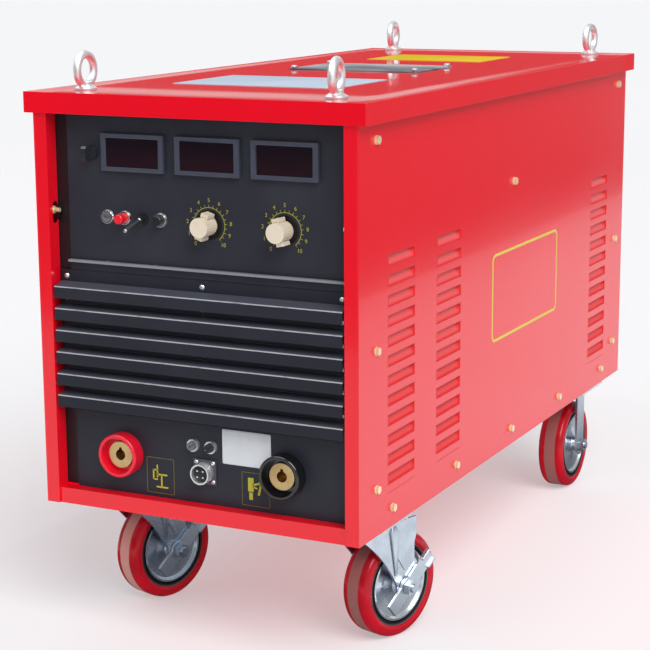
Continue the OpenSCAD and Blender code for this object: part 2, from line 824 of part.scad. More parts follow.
// Chrome bushes of the lamp, the two buttons and the switch, with their nuts and bodies
module control_bushes() {
    body_side = 22;
    guide_r = cap_d / 2 + pivot_fit;
    seat = 1;
    color(ZINC) {
        for (x = [red_x, black_x]) front_at(x, row_mid) difference() {
            bezel_bush();
            translate([0, 0, -cap_len - button_travel - run_gap])
                cylinder(r = guide_r, h = cap_len + button_travel + bezel_proud + 2);
        }
        front_at(lamp_x, row_mid) difference() {
            bezel_bush();
            translate([0, 0, -seat]) cylinder(d = barrel_d - 2 + 2 * pivot_fit, h = bezel_proud + 2);
        }
        front_at(switch_x, row_mid) difference() {
            union() {
                cylinder(r = hex_r(bush_d) * 0.8, h = 3, $fn = 6);
                translate([0, 0, -frame_t - 1]) cylinder(d = bush_d, h = lever_pivot + lever_sunk + frame_t + 1);
                translate([-body_side / 2, -body_side / 2, -frame_t - bush_len])
                    cube([body_side, body_side, bush_len]);
            }
            translate([0, 0, lever_pivot]) sphere(r = lever_ball_r + pivot_fit);
            translate([0, 0, lever_pivot]) cylinder(r = lever_ball_r + pivot_fit, h = lever_sunk + 1);
        }
    }
}

lever_ball_r = 3.5;
lever_sunk = 2;

// Switch lever: a tapered stem with a ball in the bush and a rounded tip
module toggle_lever() {
    stem_from = 4.6;
    stem_to = 5.8;
    color(ZINC) front_at(switch_x, row_mid) translate([0, 0, lever_pivot]) rotate([lever_tilt, 0, 0])
        rotate_extrude() polygon(concat(
            [for (a = [-90 : 15 : 45]) lever_ball_r * [cos(a), sin(a)]],
            [[stem_from / 2, 3], [stem_to / 2, lever_len - 6], [lever_tip_r, lever_len - 3]],
            [for (a = [0 : 15 : 90]) [0, lever_len] + lever_tip_r * [cos(a), sin(a)]]));
}

// Quarter-turn wing latch: base, wing, stem and the cam behind the panel
module panel_latch() {
    base_h = 4;
    wing_h = 21;
    wing_w = 7.5;
    wing_half = latch_d / 2;
    wing_edge = 3;
    cam_l = post_in - panel_flange + latch_x + 8;
    cam_t = 3;
    cam_z = -2 * frame_t - run_gap - cam_t;
    color("#18181a") front_at(latch_x, latch_mid) {
        translate([0, 0, run_gap]) cylinder(d1 = latch_d, d2 = latch_d - 3, h = base_h);
        translate([-wing_w / 2, 0, 0]) rotate([90, 0, 90]) linear_extrude(wing_w)
            polygon([[-wing_half, base_h], [wing_half, base_h], [wing_half, wing_h - wing_edge],
                [wing_half - wing_edge, wing_h], [wing_edge - wing_half, wing_h],
                [-wing_half, wing_h - wing_edge]]);
        translate([0, 0, cam_z]) cylinder(d = latch_stem_d, h = run_gap + 1 - cam_z);
        translate([-cam_l, -latch_stem_d / 2, cam_z]) cube([cam_l, latch_stem_d, cam_t]);
    }
}

sleeve_len = 18;
collar_floor = 5;

// Socket collar: a rim round a sunk floor, with a sleeve through the panel and its nut
module socket_collar(x) {
    nut_h = 6;
    lip = 1.5;
    front_at(x, socket_z) difference() {
        union() {
            rotate_extrude() polygon([[0, 0], [collar_d / 2, 0], [collar_d / 2, collar_proud - lip],
                [collar_d / 2 - lip, collar_proud], [0, collar_proud]]);
            translate([0, 0, -frame_t - sleeve_len]) cylinder(d = sleeve_d, h = frame_t + sleeve_len + 1);
            translate([0, 0, -frame_t - nut_h]) cylinder(d = sleeve_d + 12, h = nut_h);
        }
        translate([0, 0, collar_floor]) cylinder(d = collar_d - 2 * collar_wall, h = collar_proud);
        translate([0, 0, -frame_t - sleeve_len - 1])
            cylinder(d = insert_d + 2 * pivot_fit, h = collar_proud + sleeve_len + frame_t + 2);
    }
}

module red_socket_collar() {
    color("firebrick") socket_collar(-socket_x);
}

module black_socket_collar() {
    color("#1c1c1e") socket_collar(socket_x);
}

// Brass socket insert with a keyed bore and a stud for the cable lug
module socket_insert(x) {
    top = collar_proud - insert_sunk;
    stud_d = 16;
    stud_l = 30;
    back = -frame_t - sleeve_len - 12;
    color(BRASS) front_at(x, socket_z) difference() {
        union() {
            translate([0, 0, back]) cylinder(d = insert_d, h = top - back);
            translate([0, 0, back - stud_l]) cylinder(d = stud_d, h = stud_l + 1);
        }
        translate([0, 0, top - insert_bore_depth]) cylinder(d = insert_bore_d, h = insert_bore_depth + 1);
        translate([-key_w / 2, 0, top - 12]) cube([key_w, insert_bore_d / 2 + 3, 13]);
    }
}

module left_socket_insert() {
    socket_insert(-socket_x);
}

module right_socket_insert() {
    socket_insert(socket_x);
}

plug_flange_t = 2.5;
plug_wall = 2;
plug_insert_h = 10;
plug_sunk = 6;

// Pilot connector: square flange and open barrel
module connector_shell() {
    groove = 0.8;
    color(ZINC) front_at(plug_x, plug_z) difference() {
        union() {
            translate([-plug_flange / 2, -plug_flange / 2, 0]) cube([plug_flange, plug_flange, plug_flange_t]);
            difference() {
                cylinder(d = plug_d, h = plug_proud);
                for (z = [plug_proud - 3 : -2 : plug_flange_t + 4])
                    translate([0, 0, z]) ring(plug_d + 2, plug_d - 2 * groove, 0.9);
            }
            translate([0, 0, -frame_t - 14]) cylinder(d = plug_back_d, h = frame_t + 15);
        }
        translate([0, 0, plug_proud - plug_sunk - plug_insert_h])
            cylinder(d = plug_d - 2 * plug_wall, h = plug_sunk + plug_insert_h + 1);
        for (p = plug_screws) translate([p[0] - plug_x, p[1] - plug_z, -1])
            cylinder(d = plug_screw_d + 2 * hole_fit, h = plug_flange_t + 2);
    }
}

// Insulator with four pins
module connector_insert() {
    pin_d = 2.5;
    pin_r = 6;
    color("#222226") front_at(plug_x, plug_z) translate([0, 0, plug_proud - plug_sunk - plug_insert_h]) {
        cylinder(d = plug_d - 2 * plug_wall - 2 * pivot_fit, h = plug_insert_h);
        for (a = [45 : 90 : 315]) rotate([0, 0, a]) translate([pin_r, 0, plug_insert_h - 1])
            cylinder(d = pin_d, h = 5);
    }
}

// Two fuse holders: ring, slotted cap and barrel behind the panel
module fuse_holders() {
    ring_h = 4;
    cap_h = 9;
    cap_r = 6;
    slot_w = 1.5;
    color(ZINC) for (s = [-1, 1]) front_at(fuse_x + s * fuse_dx, fuse_z) difference() {
        union() {
            cylinder(d1 = fuse_d, d2 = fuse_d - 2, h = ring_h);
            cylinder(r = cap_r, h = cap_h);
            translate([0, 0, -frame_t - 30]) cylinder(d = fuse_barrel_d, h = frame_t + 31);
            translate([0, 0, -frame_t - 4]) cylinder(d = fuse_d, h = 4, $fn = 6);
        }
        rotate([0, 0, 30]) translate([-cap_r - 1, -slot_w / 2, cap_h - 2]) cube([2 * cap_r + 2, slot_w, 3]);
    }
}

// Four lifting eyes, each a round ring with a straight land, a collar and a threaded shank
module eye_bolts() {
    half_land = eye_land / 2;
    bore_r = eye_bore_d / 2;
    bar_r = eye_bar_d / 2;
    neck_d = 18;
    color(ZINC) for (i = [0 : 3])
        cabinet() translate([(i % 2 == 0 ? -1 : 1) * eye_at, eye_ys[floor(i / 2)], cover_top])
            rotate([0, 0, eye_turns[i]]) {
            difference() {
                union() {
                    rotate_extrude() polygon([[0, 0], [eye_collar_d / 2, 0], [eye_collar_d / 2, 3],
                        [neck_d / 2, eye_collar_h], [neck_d / 2, eye_collar_h + eye_neck],
                        [0, eye_collar_h + eye_neck]]);
                    translate([0, 0, eye_ring_z]) rotate([90, 0, 0]) rotate_extrude()
                        polygon(concat([[bore_r, half_land], [bore_r, -half_land]],
                            [for (a = [-150 : 20 : 150])
                                [bore_r + bar_r, 0] + bar_r * [cos(a), sin(a)]]));
                }
                translate([0, 0, eye_ring_z]) rotate([90, 0, 0])
                    cylinder(r = bore_r, h = 2 * eye_collar_d, center = true);
            }
            translate([0, 0, -cover_t - rail_t]) cylinder(d = eye_thread_d, h = cover_t + rail_t + 1);
        }
}

// How each lifting eye stands turned: front left, front right, rear left, rear right
eye_turns = [92, 99, 96, 86];

// Places a caster's parts: swivel axis on the floor, axle along x, trail to the back
module front_caster(s) {
    translate([s * caster_at, front_y - mid_y, 0]) rotate([0, 0, -swivel]) children();
}

module rear_caster(s) {
    translate([s * caster_at, rear_axle_y - mid_y, 0]) children();
}

module on_axle(back) {
    translate([0, back, wheel_r]) rotate([0, 90, 0]) children();
}

// Rounded mounting plate with four bolt holes
module caster_plate() {
    corner = 8;
    translate([0, 0, caster_h - plate_t]) linear_extrude(plate_t) difference() {
        union() {
            square(plate_size - [2 * corner, 0], center = true);
            square(plate_size - [0, 2 * corner], center = true);
            for (sx = [-1, 1], sy = [-1, 1])
                translate([sx * (plate_size[0] / 2 - corner), sy * (plate_size[1] / 2 - corner)]) circle(corner);
        }
        for (sx = [-1, 1], sy = [-1, 1])
            translate([sx * plate_holes[0], sy * plate_holes[1]]) circle(d = caster_bolt_d + 2 * hole_fit);
    }
}

king_d = 14;

// Plate, upper race and king pin of a swivel caster
module swivel_plate(s) {
    nut_h = 7;
    race_d = 68;
    color(ZINC) translate([s * caster_at, front_y - mid_y, 0]) {
        caster_plate();
        translate([0, 0, crown_top + run_gap]) cylinder(d1 = race_d - 6, d2 = race_d, h = race_h);
        translate([0, 0, crown_top - crown_t - run_gap - nut_h])
            cylinder(d = king_d, h = nut_h + crown_t + 2 * run_gap + 1);
        translate([0, 0, crown_top - crown_t - run_gap - nut_h]) cylinder(r = 12, h = nut_h, $fn = 6);
    }
}

module left_swivel_plate() {
    swivel_plate(-1);
}

module right_swivel_plate() {
    swivel_plate(1);
}

fork_end_r = 18;

// Side view of a swivel fork's leg: a swept front edge, a straight rear edge and a round end
module swivel_leg() {
    shoulder = 12;
    nose = 36;
    sweep_fore = 42;
    sweep_drop = 46.5;
    heel = 4;
    heel_drop = 36.5;
    heel_rise = 10;
    sweep = [trail - sweep_fore, crown_top - sweep_drop];
    heel_from = crown_top - heel_drop;
    heel_to = heel_from + heel_rise;
    difference() {
        union() {
            polygon(concat([[trail + fork_end_r + heel, crown_top], [-nose, crown_top]],
                curve([-nose, crown_top - shoulder], sweep, [trail - fork_end_r, wheel_r + heel], 8),
                [[trail - fork_end_r, wheel_r], [trail + fork_end_r, wheel_r],
                    [trail + fork_end_r, heel_from], [trail + fork_end_r + heel, heel_to]]));
            translate([trail, wheel_r]) circle(fork_end_r);
        }
        translate([trail, wheel_r]) circle(axle_r + pivot_fit);
    }
}

// Raised rib pressed into the middle of a leg
module leg_rib() {
    rib_drop = 34;
    rib_rise = 24;
    top = crown_top - rib_drop;
    low = wheel_r + rib_rise;
    polygon([[trail - 30, top], [trail - 20, top], [trail + 1, low], [trail - 4, low]]);
}

// Extrudes a leg's side view on both sides of the wheel
module legs(thick, inner) {
    for (s = [0, 1]) mirror([s, 0, 0])
        translate([inner, 0, 0]) rotate([90, 0, 90]) linear_extrude(thick) children();
}

// Pressed fork of a swivel caster: crown with the king pin's hole, and two legs
module swivel_fork(s) {
    crown_d = 78;
    rib_h = 1.2;
    color(ZINC) front_caster(s) {
        difference() {
            union() {
                translate([0, 0, crown_top - crown_t]) cylinder(d = crown_d, h = crown_t);
                box([-leg_out, -30, crown_top - crown_t], [leg_out, trail + fork_end_r - 6, crown_top]);
                legs(fork_t, fork_gap / 2) swivel_leg();
                legs(rib_h + 0.5, leg_out - 0.5) leg_rib();
            }
            translate([0, 0, crown_top - crown_t - 1]) cylinder(d = king_d + 2 * pivot_fit, h = crown_t + 2);
        }
    }
}

module left_swivel_fork() {
    swivel_fork(-1);
}

module right_swivel_fork() {
    swivel_fork(1);
}

// Axle bolt with its head inside and its nut outside
module axle(outer) {
    head_h = 7;
    nut_h = 9;
    translate([0, 0, -leg_out - head_h]) cylinder(d = axle_d, h = 2 * leg_out + head_h + outer + nut_h + 3);
    translate([0, 0, -leg_out - head_h]) cylinder(r = hex_r(axle_d), h = head_h, $fn = 6);
    translate([0, 0, leg_out + outer]) cylinder(r = hex_r(axle_d), h = nut_h, $fn = 6);
}

brake_room = brake_t + 2 * run_gap;

module left_swivel_axle() {
    color(ZINC) front_caster(-1) on_axle(trail) axle(brake_room);
}

module right_swivel_axle() {
    color(ZINC) front_caster(1) on_axle(trail) axle(brake_room);
}

// Half section of a wheel's core: hub, dished cover, rim groove and rim
function core_side(s) = [[axle_r + pivot_fit, s * hub_half], [13, s * hub_half], [15, s * 19], [30, s * 15],
    [core_r - 13, s * 16], [core_r - 10, s * 20], [core_r - 7, s * 20], [core_r - 7, s * 15],
    [core_r - 4, s * 15], [core_r - 4, s * (tyre_w / 2 - 3)], [core_r, s * (tyre_w / 2 - 2)]];

function reversed(list) = [for (i = [len(list) - 1 : -1 : 0]) list[i]];

// Cast wheel core with dished covers
module wheel_core() {
    rotate_extrude($fn = 96) polygon(concat(core_side(-1), reversed(core_side(1))));
}

// One shoulder of a tyre, from its side to its tread
function tyre_side(s) = [for (a = [0 : 15 : 90])
    [core_r + 5 + (wheel_r - core_r - 5) * sin(a), s * (tyre_w / 2 - 9.5 + 9.5 * cos(a))]];

// Tyre bonded round the core, with round shoulders and a flat tread
module wheel_tyre() {
    rotate_extrude($fn = 96) polygon(concat([[core_r, -(tyre_w / 2 - 2)]], tyre_side(-1),
        reversed(tyre_side(1)), [[core_r, tyre_w / 2 - 2]]));
}

module front_left_wheel() {
    color(ZINC) front_caster(-1) on_axle(trail) wheel_core();
}

module front_right_wheel() {
    color(ZINC) front_caster(1) on_axle(trail) wheel_core();
}

module front_left_tyre() {
    color("firebrick") front_caster(-1) on_axle(trail) wheel_tyre();
}

module front_right_tyre() {
    color("firebrick") front_caster(1) on_axle(trail) wheel_tyre();
}

// Brake lever on the axle: pedal behind and above, tail tab in front and below
module brake_lever(s) {
    hub_r = 14;
    pedal_back = 36;
    pedal_up = 27;
    tail_fore = 33;
    tail_down = 28;
    pedal_at = [trail + pedal_back, wheel_r + pedal_up];
    tail_at = [trail - tail_fore, wheel_r - tail_down];
    arm_w = 11;
    along = (pedal_at - tail_at) / norm(pedal_at - tail_at);
    across = [-along[1], along[0]];
    lean = atan2(along[1], along[0]);
    pedal_l = 18;
    pedal_w = 7;
    color(ZINC) front_caster(s) translate([leg_out + run_gap, 0, 0]) {
        rotate([90, 0, 90]) linear_extrude(brake_t) difference() {
            union() {
                translate([trail, wheel_r]) circle(hub_r);
                polygon([pedal_at + arm_w * across, tail_at + arm_w * across,
                    tail_at - arm_w * across, pedal_at - arm_w * across]);
            }
            translate([trail, wheel_r]) circle(axle_r + pivot_fit);
        }
        translate([0, pedal_at[0], pedal_at[1]]) rotate([lean, 0, 0]) translate([0, -3, -arm_w]) {
            cube([brake_t, pedal_l, 2 * arm_w]);
            for (z = [0, 2 * arm_w - brake_t]) translate([0, 0, z]) cube([pedal_w, pedal_l, brake_t]);
        }
    }
}

module left_brake_lever() {
    brake_lever(-1);
}

module right_brake_lever() {
    brake_lever(1);
}

// Side view of a fixed fork's straight leg
module fixed_leg() {
    top_half = 30;
    flare = 22;
    leg_top = caster_h - plate_t;
    difference() {
        union() {
            polygon([[-top_half, leg_top], [-fork_end_r, leg_top - flare], [-fork_end_r, wheel_r],
                [fork_end_r, wheel_r], [fork_end_r, leg_top - flare], [top_half, leg_top]]);
            translate([0, wheel_r]) circle(fork_end_r);
        }
        translate([0, wheel_r]) circle(axle_r + pivot_fit);
    }
}

// Fixed fork of a rear caster, in one piece with its plate
module fixed_fork(s) {
    color(ZINC) rear_caster(s) {
        caster_plate();
        legs(fork_t, fork_gap / 2) fixed_leg();
    }
}

module rear_left_fork() {
    fixed_fork(-1);
}

module rear_right_fork() {
    fixed_fork(1);
}

module rear_axles() {
    color(ZINC) for (s = [-1, 1]) rear_caster(s) mirror([s < 0 ? 1 : 0, 0, 0]) on_axle(0) axle(0);
}

module rear_left_wheel() {
    color(ZINC) rear_caster(-1) on_axle(0) wheel_core();
}

module rear_right_wheel() {
    color(ZINC) rear_caster(1) on_axle(0) wheel_core();
}

module rear_left_tyre() {
    color("firebrick") rear_caster(-1) on_axle(0) wheel_tyre();
}

module rear_right_tyre() {
    color("firebrick") rear_caster(1) on_axle(0) wheel_tyre();
}

// Hex bolt with a washer, along its local z, seated at z = 0
module hex_bolt(d, shank) {
    washer_t = 1.2;
    cylinder(d = 2 * d, h = washer_t);
    translate([0, 0, washer_t]) cylinder(r = hex_r(d), h = 0.65 * d, $fn = 6);
    translate([0, 0, -shank]) cylinder(d = d, h = shank + 1);
}

// Bolt with a long stud and a second nut, which reaches through a post's slot
module slot_stud() {
    stud_l = 23.5;
    nut_at = 9.5;
    nut_h = 5.5;
    hex_bolt(bolt_d, frame_t);
    cylinder(d = bolt_d, h = stud_l);
    translate([0, 0, nut_at]) cylinder(r = hex_r(bolt_d), h = nut_h, $fn = 6);
}

// Bolts of the side panels, the posts' slots and the caster plates
module panel_bolts() {
    color(YELLOW_ZINC) {
        both_sides() cabinet() for (p = side_bolts)
            translate([body_w / 2, p[0], p[1]]) rotate([0, 90, 0]) hex_bolt(bolt_d, sheet_t + 8);
        cabinet() both_sides() translate([side_in - frame_t, post_slot_y, post_slot_z + stud_up])
            rotate([0, -90, 0]) slot_stud();
        cabinet() for (p = caster_places, sx = [-1, 1], sy = [-1, 1])
            translate([p[0] + sx * plate_holes[0], p[1] + sy * plate_holes[1], -plate_t])
                rotate([180, 0, 0]) hex_bolt(caster_bolt_d, plate_t + base_t);
    }
}

// Round-head screws of the front panels, slats, connector and fan
module round_screw(d, shank) {
    intersection() {
        cylinder(d = 2 * d, h = 0.6 * d);
        translate([0, 0, -0.6 * d]) sphere(r = 1.2 * d);
    }
    translate([0, 0, -shank]) cylinder(d = d, h = shank + 0.5);
}

module front_screws() {
    color(ZINC) {
        for (p = slat_screws) front_at(p[0], p[1], panel_y - slat_t) round_screw(screw_d, slat_t + frame_t);
        for (p = plug_screws) front_at(p[0], p[1], panel_y - plug_flange_t)
            round_screw(plug_screw_d, plug_flange_t + frame_t);
        for (p = fan_screws) rear_at(p[0], fan_z + p[1]) round_screw(screw_d, sheet_t + 6);
    }
}

core_leg = 58;
core_depth = 110;
core_h = 290;
core_z = base_t;
coil_gap = 1;
coil_slack = 2;
coil_clear = 30.5;
coil_reach = side_in - upright_t - coil_clear;
core_w = 4 / 3 * (coil_reach + coil_slack + 3 / 4 * core_leg);
window_w = (core_w - 3 * core_leg) / 2;
window_h = core_h - 2 * core_leg;

// Three-legged laminated core on the base tray
module transformer_core() {
    color("#4a4d52") cabinet() translate([0, strut_y, core_z]) difference() {
        translate([-core_w / 2, -core_depth / 2, 0]) cube([core_w, core_depth, core_h]);
        for (s = [-1, 1]) translate([s * (core_leg + window_w) / 2 - window_w / 2, -core_depth / 2 - 1, core_leg])
            cube([window_w, core_depth + 2, window_h]);
    }
}

// Rectangle with round corners
module round_rect(size, r) {
    square(size - [2 * r, 0], center = true);
    square(size - [0, 2 * r], center = true);
    for (sx = [-1, 1], sy = [-1, 1]) translate([sx * (size[0] / 2 - r), sy * (size[1] / 2 - r)]) circle(r);
}

// Three windings on the core's legs
module transformer_coils() {
    build = window_w / 2 - coil_slack;
    color("peru") for (i = [-1 : 1])
        cabinet() translate([i * (core_leg + window_w), strut_y, core_z + core_leg])
            linear_extrude(window_h - coil_gap) difference() {
                round_rect([core_leg + 2 * build, core_depth + 2 * build], 14);
                square([core_leg + 2 * coil_gap, core_depth + 2 * coil_gap], center = true);
            }
}

// Finned heat sink of the rectifier, with six pressed diodes on its base
module rectifier() {
    sink_side = 88.5;
    sink_w = 2 * (side_in - sink_side);
    sink_depth = 90;
    sink_h = 130;
    sink_back = 160;
    fins = 16;
    fin_t = 3;
    base = 12;
    diodes = 6;
    diode_d = 36;
    diode_h = 25;
    pitch = (sink_w - fin_t) / (fins - 1);
    color("lightsteelblue") cabinet() translate([-sink_w / 2, strut_y + sink_back, base_t]) {
        linear_extrude(sink_h) {
            square([sink_w, base]);
            for (i = [0 : fins - 1]) translate([i * pitch, 0]) square([fin_t, sink_depth]);
        }
        for (i = [0 : diodes - 1]) translate([(i + 0.5) * sink_w / diodes, 1, sink_h / 2]) rotate([90, 0, 0])
            cylinder(d = diode_d, h = diode_h + 1);
    }
}

// Control board on stand-offs behind the control panel
module control_board() {
    board_gap = 66;
    board_t = 1.6;
    post_d = 8;
    half = panel_half - 30;
    top_gap = 36;
    inset = 8;
    low = control_low + inset;
    high = body_h - top_gap;
    color("darkgreen") cabinet() {
        box([-half, panel_back + board_gap, low], [half, panel_back + board_gap + board_t, high]);
        for (x = [-half + inset, half - inset], z = [low + inset, high - inset])
            translate([x, panel_back, z]) rotate([-90, 0, 0]) cylinder(d = post_d, h = board_gap + 0.5);
    }
}

fan_screw_at = fan_frame_w / 2 - 10;
fan_screws = [for (sx = [-1, 1], sz = [-1, 1]) [sx * fan_screw_at, sz * fan_screw_at]];
fan_hub_d = 70;
fan_pin_d = 8;

// Fan frame with its air passage, motor, spider and pin
module fan_frame() {
    motor_h = 22;
    arm_w = 10;
    arm_t = 4;
    color("#26272b") cabinet() translate([0, rear_in, fan_z]) rotate([90, 0, 0]) difference() {
        union() {
            difference() {
                translate([-fan_frame_w / 2, -fan_frame_w / 2, 0]) cube([fan_frame_w, fan_frame_w, fan_depth]);
                translate([0, 0, -1]) cylinder(d = fan_d + 6, h = fan_depth + 2);
            }
            for (a = [45, 135]) rotate([0, 0, a])
                translate([-fan_d / 2 - 8, -arm_w / 2, fan_depth - arm_t]) cube([fan_d + 16, arm_w, arm_t]);
            translate([0, 0, fan_depth - motor_h]) cylinder(d = fan_hub_d - 8, h = motor_h);
            translate([0, 0, 6]) cylinder(d = fan_pin_d, h = fan_depth - motor_h);
        }
        for (p = fan_screws) translate([p[0], p[1], -1]) cylinder(d = screw_d + 2 * hole_fit, h = 10);
    }
}

// Fan rotor: hub and pitched blades
module fan_rotor() {
    blades = 7;
    hub_h = 18;
    blade_t = 2.5;
    blade_w = 46;
    pitch_angle = 32;
    hub_z = 8;
    color("dimgray") cabinet() translate([0, rear_in, fan_z]) rotate([90, 0, 0]) translate([0, 0, hub_z])
        difference() {
            union() {
                cylinder(d = fan_hub_d, h = hub_h);
                intersection() {
                    cylinder(d = fan_d - 4, h = hub_h);
                    for (i = [0 : blades - 1]) rotate([0, 0, i * 360 / blades])
                        translate([fan_hub_d / 2 - 4, 0, hub_h / 2]) rotate([pitch_angle, 0, 0])
                            translate([0, -blade_w / 2, -blade_t / 2])
                            cube([fan_d, blade_w, blade_t]);
                }
            }
            translate([0, 0, -1]) cylinder(d = fan_pin_d + 2 * pivot_fit, h = hub_h + 2);
        }
}

gland_thread_d = 32;

// Mains cable gland: hex body, dome nut, thread and lock nut, with a through bore
module cable_gland() {
    hex_h = 10;
    dome_d = 40;
    lock_h = 7;
    color("#2a2a2c") rear_at(gland_x, gland_z) difference() {
        union() {
            cylinder(r = dome_d / 2 / cos(30), h = hex_h, $fn = 6);
            rotate_extrude() polygon([[0, hex_h - 1], [dome_d / 2, hex_h - 1], [dome_d / 2, gland_proud - 8],
                [gland_bore_d / 2 + 4, gland_proud], [0, gland_proud]]);
            translate([0, 0, -sheet_t - 14]) cylinder(d = gland_thread_d, h = sheet_t + 15);
            translate([0, 0, -sheet_t - lock_h]) cylinder(r = dome_d / 2 / cos(30), h = lock_h, $fn = 6);
        }
        translate([0, 0, -sheet_t - 15]) cylinder(d = gland_bore_d, h = gland_proud + sheet_t + 16);
    }
}

breaker_w = 76;
breaker_win = 46;
breaker_h = 90;
breaker_step = 6;
breaker_pin_d = 6;
handle_r = 12;
handle_w = 60;

// Three-pole breaker behind its window, with a slot for the handle
module breaker_body() {
    depth = 70;
    fit = hole_fit;
    color("#dcdcd8") rear_at(breaker_x, breaker_z) difference() {
        union() {
            translate([-breaker_w / 2 + fit, -breaker_win / 2 + fit, -sheet_t - 1])
                cube([breaker_w - 2 * fit, breaker_win - 2 * fit, sheet_t + 1 + breaker_step]);
            translate([-breaker_w / 2, -breaker_h / 2, -sheet_t - depth]) cube([breaker_w, breaker_h, depth]);
        }
        translate([-handle_w / 2 - run_gap, 0, 0]) rotate([0, 90, 0])
            cylinder(r = handle_r + run_gap, h = handle_w + 2 * run_gap);
        translate([-handle_w / 2 - 5, 0, 0]) rotate([0, 90, 0])
            cylinder(d = breaker_pin_d + 2 * pivot_fit, h = handle_w + 10);
    }
}

// Breaker handle: a round drum on pins with a grip
module breaker_handle() {
    grip_l = 12;
    grip_t = 8;
    grip_w = handle_w - 6;
    color("#1c1c1e") rear_at(breaker_x, breaker_z) {
        translate([-handle_w / 2, 0, 0]) rotate([0, 90, 0]) cylinder(r = handle_r, h = handle_w);
        translate([-handle_w / 2 - 4, 0, 0]) rotate([0, 90, 0]) cylinder(d = breaker_pin_d, h = handle_w + 8);
        rotate([breaker_lean, 0, 0]) translate([-grip_w / 2, -grip_t / 2, 0])
            cube([grip_w, grip_t, handle_r + grip_l]);
    }
}

breaker_lean = -25;

base_frame();
front_frame();
lifting_frame();
top_cover();
left_side_panel();
right_side_panel();
rear_panel();
control_panel();
louvre_panel();
louvre_slats();
lower_panel();
meter_bezels();
meter_lenses();
current_knob();
time_knob();
potentiometers();
power_lamp();
red_button();
black_button();
control_bushes();
toggle_lever();
panel_latch();
red_socket_collar();
black_socket_collar();
left_socket_insert();
right_socket_insert();
connector_shell();
connector_insert();
fuse_holders();
eye_bolts();
left_swivel_plate();
right_swivel_plate();
left_swivel_fork();
right_swivel_fork();
left_swivel_axle();
right_swivel_axle();
front_left_wheel();
front_right_wheel();
front_left_tyre();
front_right_tyre();
left_brake_lever();
right_brake_lever();
rear_left_fork();
rear_right_fork();
rear_axles();
rear_left_wheel();
rear_right_wheel();
rear_left_tyre();
rear_right_tyre();
panel_bolts();
front_screws();
transformer_core();
transformer_coils();
rectifier();
control_board();
fan_frame();
fan_rotor();
cable_gland();
breaker_body();
breaker_handle();
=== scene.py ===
"""Looks of a stud welding power source on casters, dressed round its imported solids."""

from __future__ import annotations

import json
import logging
import math
from dataclasses import dataclass
from enum import Enum
from typing import Dict, Mapping, Sequence, Tuple, Union

import bpy
from mathutils import Matrix, Vector

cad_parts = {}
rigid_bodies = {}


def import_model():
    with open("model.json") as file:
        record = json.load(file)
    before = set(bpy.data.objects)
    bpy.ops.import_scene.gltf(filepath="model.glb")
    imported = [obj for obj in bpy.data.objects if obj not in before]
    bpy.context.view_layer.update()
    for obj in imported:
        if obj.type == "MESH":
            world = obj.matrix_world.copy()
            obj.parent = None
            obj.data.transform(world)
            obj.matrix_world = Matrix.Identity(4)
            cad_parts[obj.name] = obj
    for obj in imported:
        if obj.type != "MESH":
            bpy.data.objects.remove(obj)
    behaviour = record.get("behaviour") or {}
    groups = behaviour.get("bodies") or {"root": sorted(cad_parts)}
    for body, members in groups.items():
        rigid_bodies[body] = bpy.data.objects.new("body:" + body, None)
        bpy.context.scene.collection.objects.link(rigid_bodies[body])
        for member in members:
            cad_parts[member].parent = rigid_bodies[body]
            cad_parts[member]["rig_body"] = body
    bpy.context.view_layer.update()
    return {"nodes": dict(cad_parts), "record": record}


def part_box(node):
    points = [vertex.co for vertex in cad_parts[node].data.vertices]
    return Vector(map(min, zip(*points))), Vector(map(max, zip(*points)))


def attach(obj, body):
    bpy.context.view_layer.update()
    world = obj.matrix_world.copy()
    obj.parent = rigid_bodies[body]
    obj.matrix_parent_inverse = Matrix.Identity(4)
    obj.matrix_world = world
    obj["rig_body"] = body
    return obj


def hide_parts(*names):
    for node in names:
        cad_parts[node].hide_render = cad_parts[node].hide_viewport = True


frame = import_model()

LOG = logging.getLogger("stud_welder")

Color = Tuple[float, float, float]
Point = Tuple[float, float, float]
Grain = Tuple[float, float, float]
Span = Tuple[float, float]
Stroke = Tuple[float, float, float, float, float]

# Metres.
MM = 0.001
MID_Y = 0.5514473
CASTER_H = 0.185

# Cabinet millimetres.
PANEL_Y = 20.5
SIDE_X = 240.0
LID_TOP = 568.0
RAIL_TOP = 24.0
FLANGE_Y = 21.6
LOUVRE_Y = (132.0, 294.0, 961.0)
LOUVRE_TOP = 366.0
SLAT_Y = 0.5
SLAT_TOP = 306.0
LEDGE_Z = 338.9
KNOB_X = (16.0, 127.0)
KNOB_Z = 401.0
BUSH_X = (-97.5, -72.5)
FUSE_X = (-14.5, 12.5)
FUSE_Z = 102.0
PIN_Y = 9.4
SHELL_Y = 17.9
SIGN_X = (-67.5, 79.5)
SIGN_Z = (52.4, 51.4)
PLATE_X = -14.0
PLATE_Y = 584.0
SCREW_X = 102.0
SCREW_Y = 63.0
SCREW_LIFT = 2.2

# Radians from the top of a knob's scale to either end.
SCALE_TURN = 2.45

CABINET = "cabinet"
PRINT_SLOT = "yellow_zinc"
SLOTS: Dict[str, str] = {row["node"]: row["material_slot"] for row in frame["record"]["subparts"]}


def at(x: float, y: float, z: float) -> Vector:
    """Turns cabinet millimetres into a point of the row frame.

    Args:
        x: distance right of the centre line.
        y: distance behind the front frame's face.
        z: height above the cabinet's bottom.

    Returns:
        The point in metres.
    """
    return Vector((x * MM, y * MM - MID_Y, z * MM + CASTER_H))


